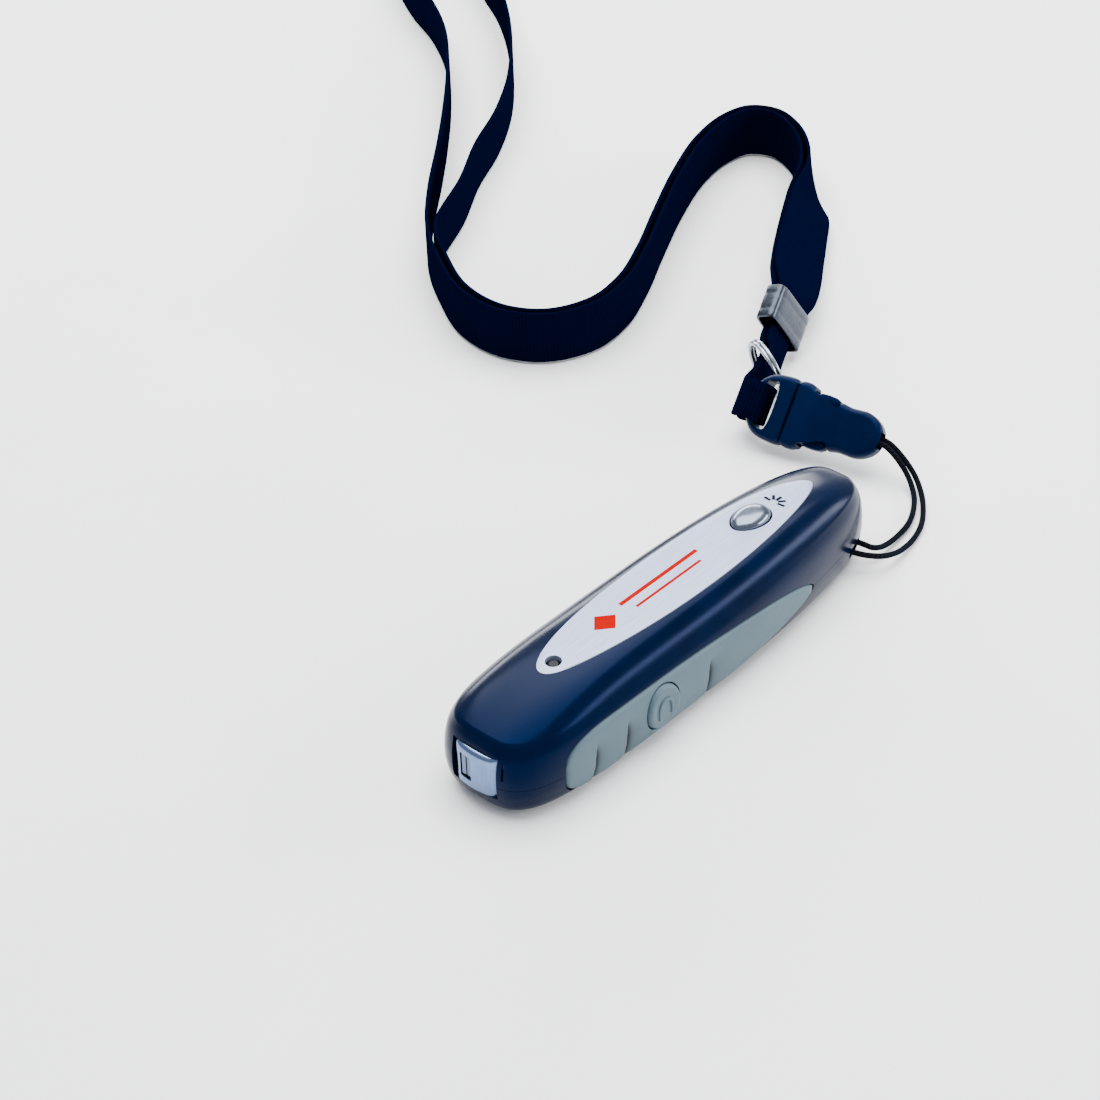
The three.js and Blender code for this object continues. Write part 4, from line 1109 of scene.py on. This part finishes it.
# %% Buckle socket
SOCKET_HALF = [(0.15, 0), (0.15, 3.6), (0.15, 6.6), (0.5, 7.2), (1.4, 7.4), (2.6, 7.3), (3.6, 6.9),
               (4.8, 6.5),
               (6.8, 6.2), (9.2, 5.7), (11.4, 5.2), (13.2, 4.95), (15.0, 5.05), (16.8, 5.05),
               (18.6, 4.5),
               (20.3, 3.4), (21.4, 1.9), (21.8, 0)]
SOCKET_WINDOW = [(4.0, 9), (4.0, 5.9), (9.4, 3.9), (10.4, 4.2), (10.9, 4.9), (10.9, 9)]
socket_curve = [tuple(p) for p in catmull(SOCKET_HALF, 4)]
socket_outline = mirrored(socket_curve)[:-1]
socket = pillow("buckle_socket", socket_outline[1:], BUCKLE_HALF_THICK, 1.5, "housing")
socket_cuts = [(-1, 4.6, -6.2, 6.2, -1.35, 1.35), (4.5, 12.3, -4.6, 4.6, -1.35, 1.35),
               (12, 15, -1.2, 1.2, -0.95, 0.95), (14.4, 30, -1.75, 1.75, -1.6, 1.6)]
for cut in socket_cuts:
    boolean(socket, [buckle_box(*cut)], solver="MANIFOLD")
for side in (1, -1):
    window = [[tuple(in_buckle(x, y * side, z)) for x, y in SOCKET_WINDOW] for z in (-5, 5)]
    boolean(socket, [tool_shape(window)], solver="MANIFOLD")
merge_flats(socket)
smooth(socket, 38)
flats = socket.modifiers.new("flats", "WEIGHTED_NORMAL")
flats.keep_sharp = True
apply_modifiers(socket)
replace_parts(socket, "buckle_female")

# %% Buckle insert and its prongs
BAIL_HALF = [(-0.15, 0), (-0.15, 3.6), (-0.15, 6.6), (-0.5, 7.2), (-1.4, 7.4), (-3.4, 7.35),
             (-5.2, 7.1), (-6.8, 6.55),
             (-8.2, 5.5), (-9.2, 4.1), (-9.8, 2.4), (-10, 0)]
bail_outline = mirrored([tuple(p) for p in catmull(BAIL_HALF, 4)])[:-1]
insert = pillow("buckle_insert_bail", bail_outline[1:], BUCKLE_HALF_THICK, 1.4, "buckle_insert")
bail_slot = [(x - 5.4, y) for x, y in oval(1.8, 5.5, 0, 0, 40, 0.35)]
boolean(insert, [tool_shape([[tuple(in_buckle(x, y, z)) for x, y in bail_slot] for z in (-5, 5)])])
boolean(insert, [buckle_box(-1, 9, -1.2, 1.2, -0.95, 0.95)], "UNION")
boolean(insert, [buckle_box(-1.2, 1, 2.6, 5.2, -1.2, 1.2), buckle_box(-1.2, 1, -5.2, -2.6, -1.2, 1.2)])
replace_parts(smooth(insert, 38), "buckle_male")

PRONG = [(-0.9, 2.9), (2, 3.1), (6, 3.6), (8.8, 3.9), (9.9, 4.2), (10.2, 4.7), (10.0, 5.4),
         (9, 5.9), (7.2, 6.05),
         (5.5, 6.0), (5.1, 5.7), (4.9, 5.1), (4.4, 4.95), (1, 4.9), (-0.9, 4.9)]
for name, side in (("prong_upper", 1), ("prong_lower", -1)):
    outline = [(x, y * side) for x, y in PRONG]
    prong = pillow(name + "_spring", outline, 1.22, 0.35,
                   "upper_prong" if side > 0 else "lower_prong", 3)
    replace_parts(smooth(prong, 38), name)
print("buckle length, mm:", SOCKET_HALF[-1][0] - BAIL_HALF[-1][0])

# %% [markdown]
# ## Split ring
# A split ring is one flat wire wound twice round. It is swept along a helix whose second turn sits
# right on the first, with the step where one turn climbs over the other.

# %% Split ring
RING_AT, RING_RADIUS = Vector((-42.6, 83.9, 7.6)), 6.45
RING_NORMAL = Vector((0.4, 0.88, 0.25)).normalized()
WIRE_RADIAL, WIRE_AXIAL, RING_TURN_STEPS = 0.5, 0.42, 56
ring_u = RING_NORMAL.orthogonal().normalized()
ring_v = RING_NORMAL.cross(ring_u)
rings = []
for i in range(2 * RING_TURN_STEPS + 1):
    turns = i / RING_TURN_STEPS
    climb = min(1.0, max(0.0, (turns - 0.93) / 0.14))
    lift = 0.44 * (2 * climb * climb * (3 - 2 * climb) - 1)
    a = 2 * math.pi * turns + 0.8
    outward = ring_u * math.cos(a) + ring_v * math.sin(a)
    section = [signed_power(math.cos(2 * math.pi * k / 12), 0.6) for k in range(12)]
    depth = [signed_power(math.sin(2 * math.pi * k / 12), 0.6) for k in range(12)]
    rings.append([tuple(RING_AT + outward * (RING_RADIUS + WIRE_RADIAL * s) + RING_NORMAL * (lift + WIRE_AXIAL * d))
                  for s, d in zip(section, depth)])
split_ring = smooth(add_piece("split_ring_coil", *skin(rings), NICKEL_STEEL, "ring", "steel"), 60)
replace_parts(split_ring, "split_ring")

# %% [markdown]
# ## Crimp
# A strip of plated steel is folded round the webbing and pressed flat. Its section is a rounded
# rectangle that runs out, over the lip and back inside. Two shallow grooves are the marks of the
# press.

# %% Crimp
CRIMP_NORMAL = CRIMP_ACROSS.cross(CRIMP_ALONG)
CRIMP_HALF_WIDTH, CRIMP_HALF_THICK, CRIMP_WALL, CRIMP_LENGTH = 7.1, 2.55, 0.55, 8.6


def crimp_ring(along, draw):
    ring = []
    for k in range(72):
        a = 2 * math.pi * k / 72
        x = signed_power(math.cos(a), 0.3) * (CRIMP_HALF_WIDTH - draw)
        z = signed_power(math.sin(a), 0.45) * (CRIMP_HALF_THICK - draw)
        ring.append(tuple(CRIMP_AT + CRIMP_ACROSS * x + CRIMP_ALONG * along + CRIMP_NORMAL * z))
    return ring


edge = CRIMP_LENGTH / 2
stations = [(-edge, CRIMP_WALL), (-edge, 0.2), (-edge + 0.07, 0.06), (-edge + 0.2, 0)]
for groove in (-2.1, 2.1):
    stations += [(groove - 0.7, 0), (groove - 0.45, 0.03), (groove, 0.08),
                 (groove + 0.45, 0.03), (groove + 0.7, 0)]
stations += [(edge - 0.2, 0), (edge - 0.07, 0.06), (edge, 0.2), (edge, CRIMP_WALL), (0, CRIMP_WALL)]
crimp = add_piece("crimp_sleeve", *skin([crimp_ring(a, d) for a, d in stations], closed=True),
                  CRIMP_STEEL,
                  "buckle_insert", "steel")
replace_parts(smooth(crimp, 50), "crimp")

# %% [markdown]
# ## Hanger loop
# A narrower piece of the same webbing leaves the crimp, passes through the split ring, turns round
# the bail of the buckle and comes back. Its two layers lie close together all the way.

# %% Hanger loop
HANGER_WIDTH, HANGER_THICK, HANGER_LAYER = 8.4, 0.95, 0.85
BAIL_ACROSS = tuple(-BUCKLE_Y)
hanger_out = [(from_crimp(0.8), tuple(CRIMP_ACROSS)), (from_crimp(4.4), tuple(CRIMP_ACROSS)),
              ((-46.9, 91.2, 7.4), (0.24, 0.3, -0.92)), (tuple(RING_AT), (0.2, -0.2, -0.96))]
ROUND_BAIL = [(-12.2, 1.6), (-10.3, 2.9), (-8.4, 3.15), (-6.7, 2.65)]
hanger_stops = [*[(*stop, HANGER_LAYER) for stop in hanger_out],
                *[(tuple(in_buckle(x, 0, z)), BAIL_ACROSS, 0) for x, z in ROUND_BAIL],
                (tuple(in_buckle(-6.2, 0, 0)), BAIL_ACROSS, 0),
                *[(tuple(in_buckle(x, 0, -z)), BAIL_ACROSS, 0) for x, z in reversed(ROUND_BAIL)],
                *[(*stop, -HANGER_LAYER) for stop in reversed(hanger_out)]]
lifted = []
for i, (place, across, layer) in enumerate(hanger_stops):
    place = Vector(place)
    if layer:
        a, b = hanger_stops[max(0, i - 1)][0], hanger_stops[min(len(hanger_stops) - 1, i + 1)][0]
        along = (Vector(b) - Vector(a)).normalized() * (1 if i < len(hanger_stops) / 2 else -1)
        place = place + along.cross(Vector(across)).normalized() * layer
    lifted.append((tuple(place), across))
hanger, hanger_path = ribbon("hanger_webbing", lifted, HANGER_WIDTH, HANGER_THICK, 0, 10,
                             "buckle_insert")
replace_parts(hanger, "hanger_loop")
print("hanger loop length, mm:", round(length_of(hanger_path), 1))

# %% [markdown]
# ## Finishes for the parts inside
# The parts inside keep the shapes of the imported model, which are the right ones, and only get
# finishes. They show through the battery bay, the lamp's window and the gaps round the keys.

# %% Inside finishes
INSIDE = [
    (CORE_LAMINATE, ["head_core"]),
    (COPPER_WIRE, ["head_coil"]),
    (NICKEL_STEEL, ["head_bracket", "contact_plate_right", "contact_plate_left", "contact_spring_right",
                    "contact_spring_left", "contact_bridge", "case_screw_1", "case_screw_2",
                    "case_screw_3", "strap_pin"]),
    (SOLDER_MASK, ["main_board", "mg_switch_board"]),
    (BLACK_NYLON, ["controller_chip", "amplifier_chip", "uv_switch", "buzzer", "capacitor",
                   "mg_switch"]),
    (SMOKED_LENS, ["indicator_lamp"]),
    (CLEAR_POLYCARBONATE, ["uv_lamp", "uv_window"]),
    (CELL_SLEEVE, ["cell_right", "cell_left"]),
]
for material, names in INSIDE:
    for name in names:
        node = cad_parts[name]
        for place in node.material_slots:
            place.material = material
print("inside parts finished:", sum(len(names) for _, names in INSIDE))

# %% [markdown]
# ## Table and light
# The table is matt and nearly white. A large soft light overhead keeps the shadow faint. Dark gloss
# shows only what it mirrors, so the shape of the housing is drawn by two low strips, one on each
# side behind it, whose reflections run along the shoulders as long soft lines.

# %% Table
FLOOR_DROP, FLOOR_HALF = 0.0003, 3
floor_mesh = bpy.data.meshes.new("table")
corners = [(-1, -1), (1, -1), (1, 1), (-1, 1)]
floor_mesh.from_pydata(
    [(x * FLOOR_HALF, y * FLOOR_HALF, -FLOOR_DROP) for x, y in corners], [], [(0, 1, 2, 3)])
table = bpy.data.objects.new("table", floor_mesh)
bpy.context.scene.collection.objects.link(table)
TABLE_PAINT, table_tree, table_shader = new_material("matt_white_table_paint", IOR=1.45)
table_where = object_mm(table_tree)
table_clouds = grain(table_tree, table_where, 60.0)
table_tint = ramp(table_tree, table_clouds, [(0.3, "#F4F4F4"), (0.7, "#F8F8F8")])
table_tree.links.new(table_tint, table_shader.inputs["Base Color"])
table_rough = vary(table_tree, grain(table_tree, table_where, 2.0), 0.85, 0.95)
table_tree.links.new(table_rough, table_shader.inputs["Roughness"])
floor_mesh.materials.append(TABLE_PAINT)

# %% Light
LIGHTS = [
    ("overhead_softbox", (-0.35, 0.4, 1.5), (-0.05, 0.05, 0), 1.8, 1.8, 90.0),
    ("right_strip", (0.62, 0.66, 0.34), (0, 0.02, 0.01), 0.9, 0.16, 9.0),
    ("left_strip", (-0.75, 0.6, 0.28), (0, 0.02, 0.01), 0.8, 0.2, 8.0),
]
for name, place, aim, width, height, power in LIGHTS:
    data = bpy.data.lights.new(name, "AREA")
    data.shape = "RECTANGLE"
    data.size, data.size_y, data.energy = width, height, power
    light = bpy.data.objects.new(name, data)
    light.location = place
    light.rotation_euler = (Vector(aim) - Vector(place)).to_track_quat("-Z", "Y").to_euler()
    bpy.context.scene.collection.objects.link(light)

world = bpy.data.worlds.new("studio")
world.use_nodes = True
world.node_tree.nodes["Background"].inputs["Color"].default_value = linear("#C8CCD4")
world.node_tree.nodes["Background"].inputs["Strength"].default_value = 1.2
bpy.context.scene.world = world
print("lights:", len(LIGHTS))

# %% [markdown]
# ## Last update
# The view layer is brought up to date once more at the end.

# %% Last update
bpy.context.view_layer.update()
